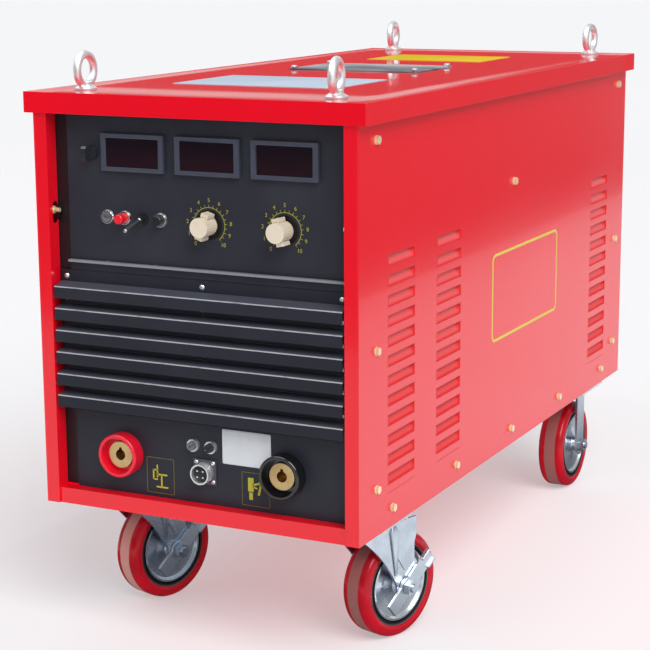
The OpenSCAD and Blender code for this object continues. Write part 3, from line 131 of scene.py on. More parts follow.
class Facing(Enum):
    """The way a flat piece faces, as the directions of its own x, y and z."""

    FRONT = ((1, 0, 0), (0, 0, 1), (0, -1, 0))
    RIGHT = ((0, 1, 0), (0, 0, 1), (1, 0, 0))
    UP = ((1, 0, 0), (0, 1, 0), (0, 0, 1))

    def place(self, where: Vector) -> Matrix:
        """Returns the matrix that lays a flat piece at a point."""
        turn = Matrix(self.value).transposed().to_4x4()
        return Matrix.Translation(where) @ turn


class Sock:
    """A shader value whose operators add Math nodes to its material."""

    def __init__(self, graph: Graph, socket: bpy.types.NodeSocket) -> None:
        """Keeps the graph and the socket that gives the value."""
        self.graph = graph
        self.socket = socket

    def math(self, operation: str, *others: Operand) -> Sock:
        """Adds one Math node.

        Args:
            operation: the node's operation.
            others: the operands after this one.

        Returns:
            The node's value.
        """
        values = dict(enumerate((self, *others)))
        return self.graph.node("ShaderNodeMath", {"operation": operation}, values)

    def __add__(self, other: Operand) -> Sock:
        """Returns the sum."""
        return self.math("ADD", other)

    def __sub__(self, other: Operand) -> Sock:
        """Returns the difference."""
        return self.math("SUBTRACT", other)

    def __mul__(self, other: Operand) -> Sock:
        """Returns the product."""
        return self.math("MULTIPLY", other)

    def __radd__(self, other: float) -> Sock:
        """Returns the sum with a number in front."""
        return self + other

    def __rmul__(self, other: float) -> Sock:
        """Returns the product with a number in front."""
        return self * other

    def __rsub__(self, other: float) -> Sock:
        """Returns a number less this value."""
        return self.graph.node("ShaderNodeMath", {"operation": "SUBTRACT"}, {0: other, 1: self})

    def __lt__(self, other: Operand) -> Sock:
        """Returns 1 where this value is lower."""
        return self.math("LESS_THAN", other)

    def __gt__(self, other: Operand) -> Sock:
        """Returns 1 where this value is higher."""
        return self.math("GREATER_THAN", other)

    def __abs__(self) -> Sock:
        """Returns the size without the sign."""
        return self.math("ABSOLUTE")

    def within(self, low: float, high: float) -> Sock:
        """Returns 1 between two numbers."""
        return (self > low) * (self < high)

    def hypot(self, other: Sock) -> Sock:
        """Returns the long side of a right triangle with these two legs."""
        return (self * self + other * other).math("SQRT")

    def wave(self, pace: float) -> Sock:
        """Returns a sine wave from 0 to 1, with its pace in radians to the unit."""
        return (self * pace).math("SINE") * 0.5 + 0.5

    def ramp(self, low: float, high: float) -> Sock:
        """Returns a smooth step from 0 at low to 1 at high."""
        settings = {"interpolation_type": "SMOOTHSTEP"}
        return self.graph.node("ShaderNodeMapRange", settings, {0: self, 1: low, 2: high})


Operand = Union[Sock, float]
Value = Union[Sock, float, Sequence[float]]


class Graph:
    """The node graph of one material."""

    def __init__(self, name: str) -> None:
        """Starts an empty material with a principled shader."""
        self.material = bpy.data.materials.new(name)
        self.material.use_nodes = True
        self.tree = self.material.node_tree
        self.shader = self.tree.nodes["Principled BSDF"]

    def node(self, kind: str, settings: Mapping[str, object], values: Mapping[Union[int, str], Value],
             out: Union[int, str] = 0) -> Sock:
        """Adds a node.

        Args:
            kind: the node's type.
            settings: attributes that are set first.
            values: numbers or links of its sockets, by place or name.
            out: the output that is wanted.

        Returns:
            The output's value.
        """
        made = self.tree.nodes.new(kind)
        for key, setting in settings.items():
            setattr(made, key, setting)
        for key, value in values.items():
            self.feed(made.inputs[key], value)
        return Sock(self, made.outputs[out])

    def feed(self, socket: bpy.types.NodeSocket, value: Value) -> None:
        """Links a value to a socket, or sets the socket's own number or colour.

        Args:
            socket: the socket.
            value: a shader value, a number, a vector or a colour.
        """
        if isinstance(value, Sock):
            self.tree.links.new(value.socket, socket)
        elif isinstance(value, (int, float)):
            socket.default_value = value
        else:
            missing = len(socket.default_value) - len(value)
            socket.default_value = (*value, *(1.0,) * missing)

    def place(self) -> Sock:
        """Returns the point on the piece, in the row frame."""
        return self.node("ShaderNodeTexCoord", {}, {}, "Object")

    def split(self, vector: Sock) -> Tuple[Sock, Sock, Sock]:
        """Returns a vector's three numbers."""
        outputs = self.node("ShaderNodeSeparateXYZ", {}, {0: vector}).socket.node.outputs
        return Sock(self, outputs[0]), Sock(self, outputs[1]), Sock(self, outputs[2])

    def vector(self, operation: str, a: Value, b: Value, out: int = 0) -> Sock:
        """Adds one Vector Math node and returns its output."""
        return self.node("ShaderNodeVectorMath", {"operation": operation}, {0: a, 1: b}, out)

    def radius(self, where: Sock, centre: Point, axis: Point) -> Sock:
        """Returns each point's distance from an axle through a centre, along a unit direction."""
        across = self.vector("CROSS_PRODUCT", self.vector("SUBTRACT", where, centre), axis)
        return self.node("ShaderNodeVectorMath", {"operation": "LENGTH"}, {0: across}, "Value")

    def noise(self, where: Sock, grain: Grain) -> Sock:
        """Returns a noise from 0 to 1, given its grains to the metre, its layers and their weight."""
        values = dict(zip(("Vector", "Scale", "Detail", "Roughness"), (where, *grain)))
        return self.node("ShaderNodeTexNoise", {}, values)

    def stretch(self, where: Sock, scale: Point) -> Sock:
        """Returns the point scaled along each axis, which draws a pattern out."""
        return self.node("ShaderNodeMapping", {}, {"Vector": where, "Scale": scale})

    def blend(self, share: Operand, a: Union[Sock, Color], b: Union[Sock, Color]) -> Sock:
        """Returns colour a where share is 0 and b where it is 1."""
        return self.node("ShaderNodeMix", {"data_type": "RGBA"}, {0: share, 6: a, 7: b}, 2)

    def bump(self, height: Sock, depth: float) -> Sock:
        """Returns the normal of a surface with that relief, its depth in metres."""
        return self.node("ShaderNodeBump", {}, {"Height": height, "Distance": depth, "Strength": 1.0})

    def finish(self, **sockets: Value) -> bpy.types.Material:
        """Feeds the shader.

        Args:
            sockets: values by socket name, with _ for a space.

        Returns:
            The material.
        """
        for name, value in sockets.items():
            self.feed(self.shader.inputs[name.replace("_", " ")], value)
        return self.material


@dataclass(frozen=True)
class Finish:
    """A named finish that makes its material once."""

    name: str

    def paint(self, g: Graph) -> bpy.types.Material:
        """Draws the finish in a graph and returns the material; each kind of finish has its own."""
        raise NotImplementedError

    def material(self) -> bpy.types.Material:
        """Returns the material, made at the first call."""
        found = bpy.data.materials.get(self.name)
        return found if found else self.paint(Graph(self.name))


Dressing = Tuple[Tuple[str, Finish], ...]


@dataclass(frozen=True)
class PowderCoat(Finish):
    """Glossy sprayed coat with orange peel, faint clouding and scuffs near the floor."""

    color: Color
    deep: Color
    rough: float = 0.14
    coat: float = 0.25
    coat_rough: float = 0.05
    peel: float = 0.00003
    pimples: Grain = (420.0, 1.0, 0.5)
    clouds: Grain = (2.6, 3.0, 0.5)
    scuffs: Grain = (46.0, 6.0, 0.7)
    scuff_edge: Span = (0.62, 0.72)
    scuff_z: Span = (0.19, 0.34)
    scuffed: Color = (0.30, 0.05, 0.05)

    def marks(self, g: Graph, where: Sock, color: Sock, rough: Sock) -> Tuple[Sock, Sock, Operand]:
        """Returns colour, roughness and the share without a clear layer; nothing is added here."""
        return color, rough, 0.0

    def relief(self, g: Graph, where: Sock) -> Sock:
        """Returns the normal of the orange peel."""
        return g.bump(g.noise(where, self.pimples), self.peel)

    def paint(self, g: Graph) -> bpy.types.Material:
        """Draws the coat.

        Args:
            g: the material's graph.

        Returns:
            The material.
        """
        where = g.place()
        cloud = g.noise(where, self.clouds)
        low = 1.0 - g.split(where)[2].ramp(*self.scuff_z)
        scuff = g.noise(where, self.scuffs).ramp(*self.scuff_edge) * low
        color = g.blend(cloud, self.color, self.deep)
        color = g.blend(scuff * 0.3, color, self.scuffed)
        rough = self.rough + 0.08 * cloud + 0.25 * scuff
        color, rough, bare = self.marks(g, where, color, rough)
        return g.finish(Base_Color=color, Roughness=rough, Coat_Weight=self.coat * (1.0 - bare),
                        Coat_Roughness=self.coat_rough, Normal=self.relief(g, where))


@dataclass(frozen=True)
class LidCoat(PowderCoat):
    """Coat of the cover, a wavy sheet that rolls down in front and on the right and up elsewhere."""

    coat_rough: float = 0.03
    half: float = 0.0
    front: float = 0.0
    back: float = 0.0
    side_roll: float = 0.045
    front_roll: float = 0.12
    back_roll: float = 0.07
    crown: float = 0.0035
    wave: float = 0.22
    swells: Grain = (5.0, 1.0, 0.5)

    def relief(self, g: Graph, where: Sock) -> Sock:
        """Draws the rolled and wavy sheet with its orange peel.

        Args:
            g: the material's graph.
            where: the point on the piece.

        Returns:
            The normal.
        """
        x, y, _ = g.split(where)
        down = (y - self.front).ramp(0.0, self.front_roll) * (self.half - x).ramp(0.0, self.side_roll)
        rise = (x + self.half).ramp(0.0, self.side_roll) * (self.back - y).ramp(0.0, self.back_roll)
        height = down - rise + self.wave * g.noise(where, self.swells)
        height = height + g.noise(where, self.pimples) * (self.peel / self.crown)
        return g.bump(height, self.crown)


@dataclass(frozen=True)
class LouvreCoat(PowderCoat):
    """Coat of the side panels, with painted shade round the louvres' rims and a painted pale sheen on their
    ramps.
    """

    columns: Tuple[float, ...] = ()
    first: float = 0.0
    pitch: float = 0.0265
    rows: int = 12
    half: float = 0.043
    tall: float = 0.014
    face: float = 0.240
    sunk: Span = (0.0004, 0.002)
    line: float = 0.0011
    # Darker red outline round each louvre: painted shade at its rim.
    rim: Color = (0.60, 0.001, 0.004)
    # Paler colour on the sunk ramps: painted sheen where light falls on them.
    dust: Color = (0.90, 0.16, 0.15)

    def marks(self, g: Graph, where: Sock, color: Sock, rough: Sock) -> Tuple[Sock, Sock, Operand]:
        """Draws the painted shade round the rims and the painted sheen on the ramps.

        Args:
            g: the material's graph.
            where: the point on the piece.
            color: the coat's colour.
            rough: its roughness.

        Returns:
            The colour, the roughness and the share without a clear layer.
        """
        x, y, z = g.split(where)
        drop = self.first - z
        local = (drop + self.line).math("FLOORED_MODULO", self.pitch) - self.line
        # Rings round each louvre's rim, which take the painted shade.
        rings = []
        for column in self.columns:
            aside = abs(y - column)
            around = (aside < self.half + self.line) * (local < self.tall + self.line)
            inside = (aside < self.half - self.line) * local.within(self.line, self.tall - self.line)
            rings.append(around - inside)
        rim = sum(rings[1:], rings[0]) * drop.within(-self.line, self.pitch * self.rows)
        # Painted sheen on the sunk ramps, then the painted shade on the rims.
        ramps = (self.face - abs(x)).ramp(*self.sunk)
        color = g.blend(ramps * 0.4, color, self.dust)
        color = g.blend(rim * 0.8, color, self.rim)
        return color, rough + 0.3 * rim, rim


@dataclass(frozen=True)
class FrameCoat(PowderCoat):
    """Coat of the front frame, dark on the flanges behind the panels."""

    back: float = 0.0
    half: float = 0.2215
    low: float = 0.0
    dark: Color = (0.004, 0.004, 0.006)

    def marks(self, g: Graph, where: Sock, color: Sock, rough: Sock) -> Tuple[Sock, Sock, Operand]:
        """Returns colour, roughness and the share without a clear layer, with the dark flanges."""
        x, y, z = g.split(where)
        flange = (y > self.back) * (abs(x) < self.half) * (z > self.low)
        return g.blend(flange, color, self.dark), rough + 0.25 * flange, flange


@dataclass(frozen=True)
class PanelPaint(Finish):
    """Satin dark paint with a fine grain and a dusting."""

    color: Color = (0.021, 0.022, 0.033)
    dust: Color = (0.034, 0.036, 0.050)
    rough: float = 0.42
    gloss: float = 0.3
    relief: float = 0.00006
    grain: Grain = (900.0, 2.0, 0.5)
    clouds: Grain = (7.0, 4.0, 0.6)
    dust_edge: Span = (0.4, 0.75)

    def marks(self, g: Graph, where: Sock, color: Sock, rough: Sock) -> Tuple[Sock, Sock]:
        """Returns colour and roughness with what is printed on or scraped off; nothing is added here."""
        return color, rough

    def paint(self, g: Graph) -> bpy.types.Material:
        """Draws the paint.

        Args:
            g: the material's graph.

        Returns:
            The material.
        """
        where = g.place()
        cloud = g.noise(where, self.clouds)
        color = g.blend(cloud.ramp(*self.dust_edge) * 0.6, self.color, self.dust)
        color, rough = self.marks(g, where, color, self.rough + 0.12 * cloud)
        normal = g.bump(g.noise(where, self.grain), self.relief)
        return g.finish(Base_Color=color, Roughness=rough, Normal=normal, Specular_IOR_Level=self.gloss)


@dataclass(frozen=True)
class SlatPaint(PanelPaint):
    """Panel paint with a painted highlight along the slats' front edges and painted light on the shelf above
    each.
    """

    top: float = 0.0
    pitch: float = 0.0303
    front: float = 0.0
    line: float = 0.0013
    rise: float = 0.0055
    wear: Grain = (60.0, 3.0, 0.5)
    along: Point = (1.0, 8.0, 8.0)
    wear_edge: Span = (0.25, 0.5)
    # Colour of the painted highlight along each slat's front edge.
    bare: Color = (0.46, 0.47, 0.5)
    # Colour of the painted light on each slat's shelf, its lit top face.
    rubbed: Color = (0.060, 0.064, 0.086)

    def marks(self, g: Graph, where: Sock, color: Sock, rough: Sock) -> Tuple[Sock, Sock]:
        """Draws the painted highlight lines along the front edges and the painted light on the shelf above
        each.

        Args:
            g: the material's graph.
            where: the point on the piece.
            color: the paint's colour.
            rough: its roughness.

        Returns:
            The colour and the roughness.
        """
        y, z = g.split(where)[1:]
        start = self.pitch / 4
        below = (self.top + start - z).math("FLOORED_MODULO", self.pitch) - start
        near = 1.0 - abs(below).ramp(self.line * 0.5, self.line)
        fore = 1.0 - (y - self.front).ramp(self.line * 0.8, self.line * 1.4)
        # Painted highlight along each front edge, broken up by noise.
        ragged = g.noise(g.stretch(where, self.along), self.wear).ramp(*self.wear_edge)
        wear_and_highlight = near * fore * (0.45 + 0.55 * ragged)
        # Painted light: the shelf above each front edge is made paler.
        color = g.blend(below.within(-self.rise, 0.0), color, self.rubbed)
        return g.blend(wear_and_highlight, color, self.bare), rough - 0.1 * wear_and_highlight


@dataclass(frozen=True)
class DialPaint(PanelPaint):
    """Panel paint with printed scales round the knobs."""

    centres: Tuple[Span, ...] = ()
    ink: Color = (0.36, 0.33, 0.03)
    plate: Color = (0.004, 0.004, 0.005)
    plate_r: float = 0.0195
    arc_r: float = 0.0232
    tick_r: float = 0.0268
    arc_edge: Span = (0.0003, 0.0006)
    tick_edge: Span = (0.0002, 0.0005)
    ticks: int = 20

    def marks(self, g: Graph, where: Sock, color: Sock, rough: Sock) -> Tuple[Sock, Sock]:
        """Draws the scales.

        Args:
            g: the material's graph.
            where: the point on the piece.
            color: the paint's colour.
            rough: its roughness.

        Returns:
            The colour and the roughness.
        """
        x, _, z = g.split(where)
        step = 2 * SCALE_TURN / self.ticks
        for centre_x, centre_z in self.centres:
            u = x - centre_x
            v = z - centre_z
            radius = u.hypot(v)
            angle = u.math("ARCTAN2", v)
            off = abs((angle + SCALE_TURN + step / 2).math("FLOORED_MODULO", step) - step / 2) * radius
            arc = 1.0 - abs(radius - self.arc_r).ramp(*self.arc_edge)
            tick = (1.0 - off.ramp(*self.tick_edge)) * radius.within(self.arc_r, self.tick_r)
            mark = arc.math("MAXIMUM", tick) * (abs(angle) < SCALE_TURN)
            color = g.blend(radius < self.plate_r, color, self.plate)
            color = g.blend(mark, color, self.ink)
        return color, rough


@dataclass(frozen=True)
class LedgePaint(PanelPaint):
    """Panel paint that is a paler grey, in streaks, above the folded ledge's height."""

    ledge_z: float = 0.0
    streaks: Grain = (40.0, 3.0, 0.5)
    along: Point = (0.4, 6.0, 6.0)
    pale: Color = (0.27, 0.285, 0.315)

    def marks(self, g: Graph, where: Sock, color: Sock, rough: Sock) -> Tuple[Sock, Sock]:
        """Returns colour and roughness with the paler ledge."""
        streak = g.noise(g.stretch(where, self.along), self.streaks)
        rubbed = (g.split(where)[2] > self.ledge_z) * (0.7 + 0.3 * streak)
        return g.blend(rubbed, color, self.pale), rough


@dataclass(frozen=True)
class Metal(Finish):
    """Plated or bare metal with clouded colour, fine scratches and a worked grain."""

    color: Color
    stain: Color
    rough: float = 0.28
    relief: float = 0.00005
    metallic: float = 1.0
    draw: Point = (1.0, 1.0, 1.0)
    scratches: Grain = (220.0, 4.0, 0.6)
    clouds: Grain = (34.0, 4.0, 0.6)
    stain_edge: Span = (0.4, 0.72)

    def plating(self, g: Graph, where: Sock) -> Tuple[Sock, Sock]:
        """Returns the stained colour and the clouds that it follows."""
        cloud = g.noise(where, self.clouds)
        return g.blend(cloud.ramp(*self.stain_edge) * 0.7, self.color, self.stain), cloud

    def paint(self, g: Graph) -> bpy.types.Material:
        """Draws the metal.

        Args:
            g: the material's graph.

        Returns:
            The material.
        """
        where = g.place()
        color, cloud = self.plating(g, where)
        fine = g.noise(g.stretch(where, self.draw), self.scratches)
        rough = self.rough + 0.14 * (fine - 0.5) + 0.12 * cloud
        return g.finish(Base_Color=color, Metallic=self.metallic, Roughness=rough,
                        Normal=g.bump(fine, self.relief))


@dataclass(frozen=True)
class MottledMetal(Metal):
    """Polished plate with cloudy pale and dark painted reflections."""

    patches: Grain = (11.0, 2.0, 0.5)
    patch_edge: Span = (0.3, 0.7)
    gloss: float = 0.1

    def paint(self, g: Graph) -> bpy.types.Material:
        """Draws the plate with its painted reflections.

        Args:
            g: the material's graph.

        Returns:
            The material.
        """
        where = g.place()
        # Painted reflections: noise picks between the pale and the dark colour.
        reflection_patch = g.noise(g.stretch(where, self.draw), self.patches)
        fine = g.noise(where, self.scratches)
        color = g.blend(reflection_patch.ramp(*self.patch_edge), self.color, self.stain)
        return g.finish(Base_Color=color, Metallic=self.metallic, Roughness=self.rough + 0.1 * fine,
                        Normal=g.bump(fine, self.relief), Specular_IOR_Level=self.gloss)


@dataclass(frozen=True)
class PartPlated(Metal):
    """Plated metal that gives way to dark plastic between two places along an axis."""

    relief: float = 0.00001
    axis: int = 0
    low: float = 0.0
    high: float = 1.0
    plastic: Color = (0.012, 0.012, 0.014)

    def paint(self, g: Graph) -> bpy.types.Material:
        """Draws the metal and the plastic.

        Args:
            g: the material's graph.

        Returns:
            The material.
        """
        where = g.place()
        plain = g.split(where)[self.axis].within(self.low, self.high)
        color, cloud = self.plating(g, where)
        color = g.blend(plain, color, self.plastic)
        rough = self.rough + 0.1 * cloud + 0.2 * plain
        normal = g.bump(g.noise(where, self.scratches), self.relief)
        return g.finish(Base_Color=color, Metallic=1.0 - plain, Roughness=rough, Normal=normal)


@dataclass(frozen=True)
class CapMetal(Metal):
    """Bright collars round caps of a duller finish."""

    caps: Tuple[Tuple[float, float, Color], ...] = ()
    cap_r: float = 0.0064

    def paint(self, g: Graph) -> bpy.types.Material:
        """Draws the collars and the caps.

        Args:
            g: the material's graph.

        Returns:
            The material.
        """
        where = g.place()
        x, _, z = g.split(where)
        color, cloud = self.plating(g, where)
        masks = []
        for centre_x, centre_z, tone in self.caps:
            masks.append((x - centre_x).hypot(z - centre_z) < self.cap_r)
            color = g.blend(masks[-1], color, tone)
        cap = sum(masks[1:], masks[0])
        return g.finish(Base_Color=color, Metallic=1.0 - cap, Roughness=self.rough + 0.1 * cloud)


@dataclass(frozen=True)
class WheelMetal(Metal):
    """Plated wheel core with a dark seal in the groove inside its rim."""

    clouds: Grain = (40.0, 4.0, 0.6)
    stain_edge: Span = (0.42, 0.75)
    centre: Point = (0.0, 0.0, 0.0)
    axis: Point = (1.0, 0.0, 0.0)
    turning: float = 2600.0
    seal: Span = (0.0521, 0.0576)
    rim: Color = (0.20, 0.22, 0.21)
    rubber: Color = (0.006, 0.007, 0.009)

    def paint(self, g: Graph) -> bpy.types.Material:
        """Draws the core and its seal.

        Args:
            g: the material's graph.

        Returns:
            The material.
        """
        where = g.place()
        radius = g.radius(where, self.centre, self.axis)
        color, cloud = self.plating(g, where)
        rings = radius.wave(self.turning)
        seal = radius.within(*self.seal)
        color = g.blend(radius > self.seal[1], color, self.rim)
        color = g.blend(seal, color, self.rubber)
        rough = self.rough + 0.1 * cloud + 0.05 * rings + 0.2 * seal
        return g.finish(Base_Color=color, Metallic=1.0 - seal, Roughness=rough,
                        Normal=g.bump(rings, self.relief))


@dataclass(frozen=True)
class Urethane(Finish):
    """Red cast tyre with a glossy shoulder and a scratched tread with a brownish dusting."""

    color: Color
    tread: Color
    centre: Point
    axis: Point
    tread_half: float = 0.0095
    tread_r: float = 0.068
    tread_blur: float = 0.0012
    ragged: float = 0.001
    relief: float = 0.00008
    clouds: Grain = (28.0, 4.0, 0.6)
    cloud_edge: Span = (0.4, 0.7)
    scratches: Grain = (160.0, 6.0, 0.7)
    deepen: float = 0.75
    scatter: Point = (0.02, 0.004, 0.003)

    def paint(self, g: Graph) -> bpy.types.Material:
        """Draws the tyre.

        Args:
            g: the material's graph.

        Returns:
            The material.
        """
        where = g.place()
        radius = g.radius(where, self.centre, self.axis)
        aside = abs(g.vector("DOT_PRODUCT", g.vector("SUBTRACT", where, self.centre), self.axis, 1))
        cloud = g.noise(where, self.clouds)
        scratch = g.noise(where, self.scratches)
        edge = aside + self.ragged * (cloud - 0.5)
        band = 1.0 - edge.ramp(self.tread_half - self.tread_blur, self.tread_half + self.tread_blur)
        wear_and_highlight = band * (radius > self.tread_r) * (0.7 + 0.3 * scratch)
        deep = tuple(share * self.deepen for share in self.color)
        color = g.blend(cloud.ramp(*self.cloud_edge), self.color, deep)
        color = g.blend(wear_and_highlight, color, self.tread)
        rough = 0.2 + 0.08 * cloud + 0.4 * wear_and_highlight
        return g.finish(Base_Color=color, Roughness=rough, Coat_Weight=0.12, Coat_Roughness=0.08,
                        Subsurface_Weight=0.08, Subsurface_Radius=self.scatter, Subsurface_Scale=0.2,
                        Specular_IOR_Level=0.28, Normal=g.bump(scratch, self.relief))


@dataclass(frozen=True)
class Moulding(Finish):
    """Moulded plastic with a faint spark-eroded texture and handling marks."""

    color: Color
    mark: Color
    rough: float = 0.35
    coat: float = 0.0
    texture: float = 0.00005
    clouds: Grain = (60.0, 5.0, 0.65)
    mark_edge: Span = (0.45, 0.8)
    sparks: Grain = (1400.0, 2.0, 0.5)

    def paint(self, g: Graph) -> bpy.types.Material:
        """Draws the plastic.

        Args:
            g: the material's graph.

        Returns:
            The material.
        """
        where = g.place()
        cloud = g.noise(where, self.clouds)
        color = g.blend(cloud.ramp(*self.mark_edge) * 0.8, self.color, self.mark)
        rough = self.rough + 0.14 * (cloud - 0.4)
        normal = g.bump(g.noise(where, self.sparks), self.texture)
        return g.finish(Base_Color=color, Roughness=rough, Coat_Weight=self.coat, Coat_Roughness=0.05,
                        Normal=normal)


@dataclass(frozen=True)
class Tinted(Finish):
    """Tinted window: dark glossy plastic with a fainter display behind it."""

    color: Color
    glow: Color
    low: float
    high: float
    hazes: Grain = (22.0, 3.0, 0.5)
    along: Point = (1.0, 1.0, 3.0)

    def paint(self, g: Graph) -> bpy.types.Material:
        """Draws the window.

        Args:
            g: the material's graph.

        Returns:
            The material.
        """
        where = g.place()
        height = g.split(where)[2]
        haze = g.noise(g.stretch(where, self.along), self.hazes)
        share = (1.0 - height.ramp(self.low, self.high)) * (0.4 + 0.6 * haze)
        color = g.blend(share, self.color, self.glow)
        return g.finish(Base_Color=color, Roughness=0.07 + 0.06 * haze, Coat_Weight=0.6, Coat_Roughness=0.03)


@dataclass(frozen=True)
class Sticker(Finish):
    """Bare printed sheet: one ink with light fading and a dusting."""

    color: Color
    fade: Color
    rough: float = 0.38
    shine: float = 0.5
    relief: float = 0.00003
    clouds: Grain = (18.0, 4.0, 0.6)
    fade_edge: Span = (0.35, 0.75)
    fibres: Grain = (700.0, 2.0, 0.5)

    def paint(self, g: Graph) -> bpy.types.Material:
        """Draws the sheet.

        Args:
            g: the material's graph.

        Returns:
            The material.
        """
        where = g.place()
        cloud = g.noise(where, self.clouds)
        color = g.blend(cloud.ramp(*self.fade_edge), self.color, self.fade)
        normal = g.bump(g.noise(where, self.fibres), self.relief)
        return g.finish(Base_Color=color, Roughness=self.rough + 0.1 * cloud, Normal=normal,
                        Specular_IOR_Level=self.shine)


@dataclass(frozen=True)
class Winding(Finish):
    """Varnished copper wire, laid in turns."""

    color: Color = (0.45, 0.17, 0.06)
    varnish: Color = (0.2, 0.07, 0.03)
    turns: float = 1400.0
    relief: float = 0.0006
    clouds: Grain = (30.0, 4.0, 0.5)

    def paint(self, g: Graph) -> bpy.types.Material:
        """Draws the turns.

        Args:
            g: the material's graph.

        Returns:
            The material.
        """
        where = g.place()
        turns = g.split(where)[2].wave(self.turns)
        cloud = g.noise(where, self.clouds)
        color = g.blend(turns * 0.6 + 0.4 * cloud, self.varnish, self.color)
        return g.finish(Base_Color=color, Metallic=0.8, Roughness=0.3 + 0.2 * cloud,
                        Normal=g.bump(turns, self.relief))


@dataclass(frozen=True)
class FloorPaint(Finish):
    """Pale matt paint of the studio's floor and wall."""

    color: Color = (0.60, 0.60, 0.605)
    dim: float = 0.985
    glow: float = 0.6
    clouds: Grain = (0.8, 3.0, 0.5)

    def paint(self, g: Graph) -> bpy.types.Material:
        """Draws the paint.

        Args:
            g: the material's graph.

        Returns:
            The material.
        """
        cloud = g.noise(g.place(), self.clouds)
        color = g.blend(cloud * 0.4, self.color, tuple(share * self.dim for share in self.color))
        return g.finish(Base_Color=color, Roughness=0.75 + 0.1 * cloud, Emission_Color=color,
                        Emission_Strength=self.glow)


@dataclass(frozen=True)
class CardPaint(Finish):
    """Lit card that turns from its low colour to its high colour along one axis."""

    low: Color
    high: Color
    axis: int = 2
    start: float = 0.0
    reach: float = 0.35
    glow: float = 1.0
    felt: Grain = (300.0, 2.0, 0.5)
    base: Color = (0.01, 0.01, 0.01)

    def paint(self, g: Graph) -> bpy.types.Material:
        """Draws the card.

        Args:
            g: the material's graph.

        Returns:
            The material.
        """
        where = g.place()
        share = g.split(where)[self.axis].ramp(self.start, self.start + self.reach)
        color = g.blend(share, self.low, self.high)
        return g.finish(Base_Color=self.base, Roughness=0.8 + 0.1 * g.noise(where, self.felt),
                        Emission_Color=color, Emission_Strength=self.glow)


RED = (0.86, 0.0022, 0.016)
RED_DEEP = (0.81, 0.0019, 0.013)
LID_LOW, LID_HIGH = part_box("top_cover")
LENS_LOW, LENS_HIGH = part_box("meter_lenses")

RED_COAT = PowderCoat("red powder coat", RED, RED_DEEP)
LID_COAT = LidCoat("red lid coat", RED, RED_DEEP, rough=0.05, coat=0.4, half=LID_HIGH.x, front=LID_LOW.y,
                   back=LID_HIGH.y)
FRAME_COAT = FrameCoat("red frame coat", RED, RED_DEEP, back=at(0, FLANGE_Y, 0).y, low=at(0, 0, RAIL_TOP).z)
SIDE_COAT = LouvreCoat("red side coat", RED, RED_DEEP, first=at(0, 0, LOUVRE_TOP).z,
                       columns=tuple(at(0, y, 0).y for y in LOUVRE_Y))
CHARCOAL = PanelPaint("charcoal paint")
SLAT_PAINT = SlatPaint("slat paint", (0.013, 0.014, 0.024), (0.024, 0.025, 0.038), top=at(0, 0, SLAT_TOP).z,
                       front=at(0, SLAT_Y, 0).y)
DIAL_PAINT = DialPaint("dial paint", centres=tuple((at(x, 0, 0).x, at(0, 0, KNOB_Z).z) for x in KNOB_X))
LEDGE_PAINT = LedgePaint("ledge paint", ledge_z=at(0, 0, LEDGE_Z).z)
METER_WINDOW = Tinted("meter window", (0.008, 0.0028, 0.007), (0.022, 0.006, 0.010), LENS_LOW.z, LENS_HIGH.z)
ZINC = Metal("bright zinc", (0.80, 0.82, 0.85), (0.62, 0.64, 0.68), rough=0.24)
PRESSED_ZINC = Metal("pressed zinc", (0.74, 0.80, 0.87), (0.60, 0.66, 0.74), rough=0.34, relief=0.00001)
BLUE_ZINC = Metal("blue zinc", (0.66, 0.72, 0.80), (0.50, 0.56, 0.64), rough=0.2, relief=0.00001)
EYE_ZINC = Metal("satin zinc", (0.95, 0.95, 0.95), (0.86, 0.87, 0.88), rough=0.4)
YELLOW_ZINC = Metal("yellow zinc", (0.95, 0.83, 0.52), (0.82, 0.70, 0.46), rough=0.26, metallic=0.5)
BRASS = Metal("turned brass", (0.72, 0.52, 0.25), (0.50, 0.33, 0.14), rough=0.3, scratches=(500.0, 4.0, 0.6))
LEVER_METAL = Metal("dull chrome", (0.42, 0.43, 0.45), (0.30, 0.31, 0.33), rough=0.26, relief=0.00001)
STEEL = Metal("inner steel", (0.45, 0.46, 0.48), (0.33, 0.32, 0.31), rough=0.4)
IRON = Metal("laminated iron", (0.26, 0.27, 0.29), (0.15, 0.13, 0.12), rough=0.5, draw=(1, 1, 12))
ALUMINIUM = Metal("extruded aluminium", (0.75, 0.76, 0.78), (0.62, 0.63, 0.66), rough=0.35,
                  draw=(8, 8, 0.4))
SWITCH_METAL = PartPlated("chrome and black bushes", (0.82, 0.83, 0.85), (0.70, 0.71, 0.74), rough=0.12,
                          low=BUSH_X[0] * MM, high=BUSH_X[1] * MM)
PIN_METAL = PartPlated("insulator and pins", (0.85, 0.85, 0.86), (0.72, 0.72, 0.74), rough=0.2, axis=1,
                       low=at(0, PIN_Y, 0).y)
SHELL_METAL = PartPlated("satin shell on a grey flange", (0.95, 0.95, 0.96), (0.84, 0.85, 0.87), rough=0.42,
                         axis=1, low=at(0, SHELL_Y, 0).y, plastic=(0.065, 0.065, 0.080))
FUSE_METAL = CapMetal("collars and caps", (0.86, 0.87, 0.89), (0.70, 0.71, 0.74), rough=0.38,
                      caps=((FUSE_X[0] * MM, at(0, 0, FUSE_Z).z, (0.13, 0.135, 0.15)),
                            (FUSE_X[1] * MM, at(0, 0, FUSE_Z).z, (0.012, 0.012, 0.014))))
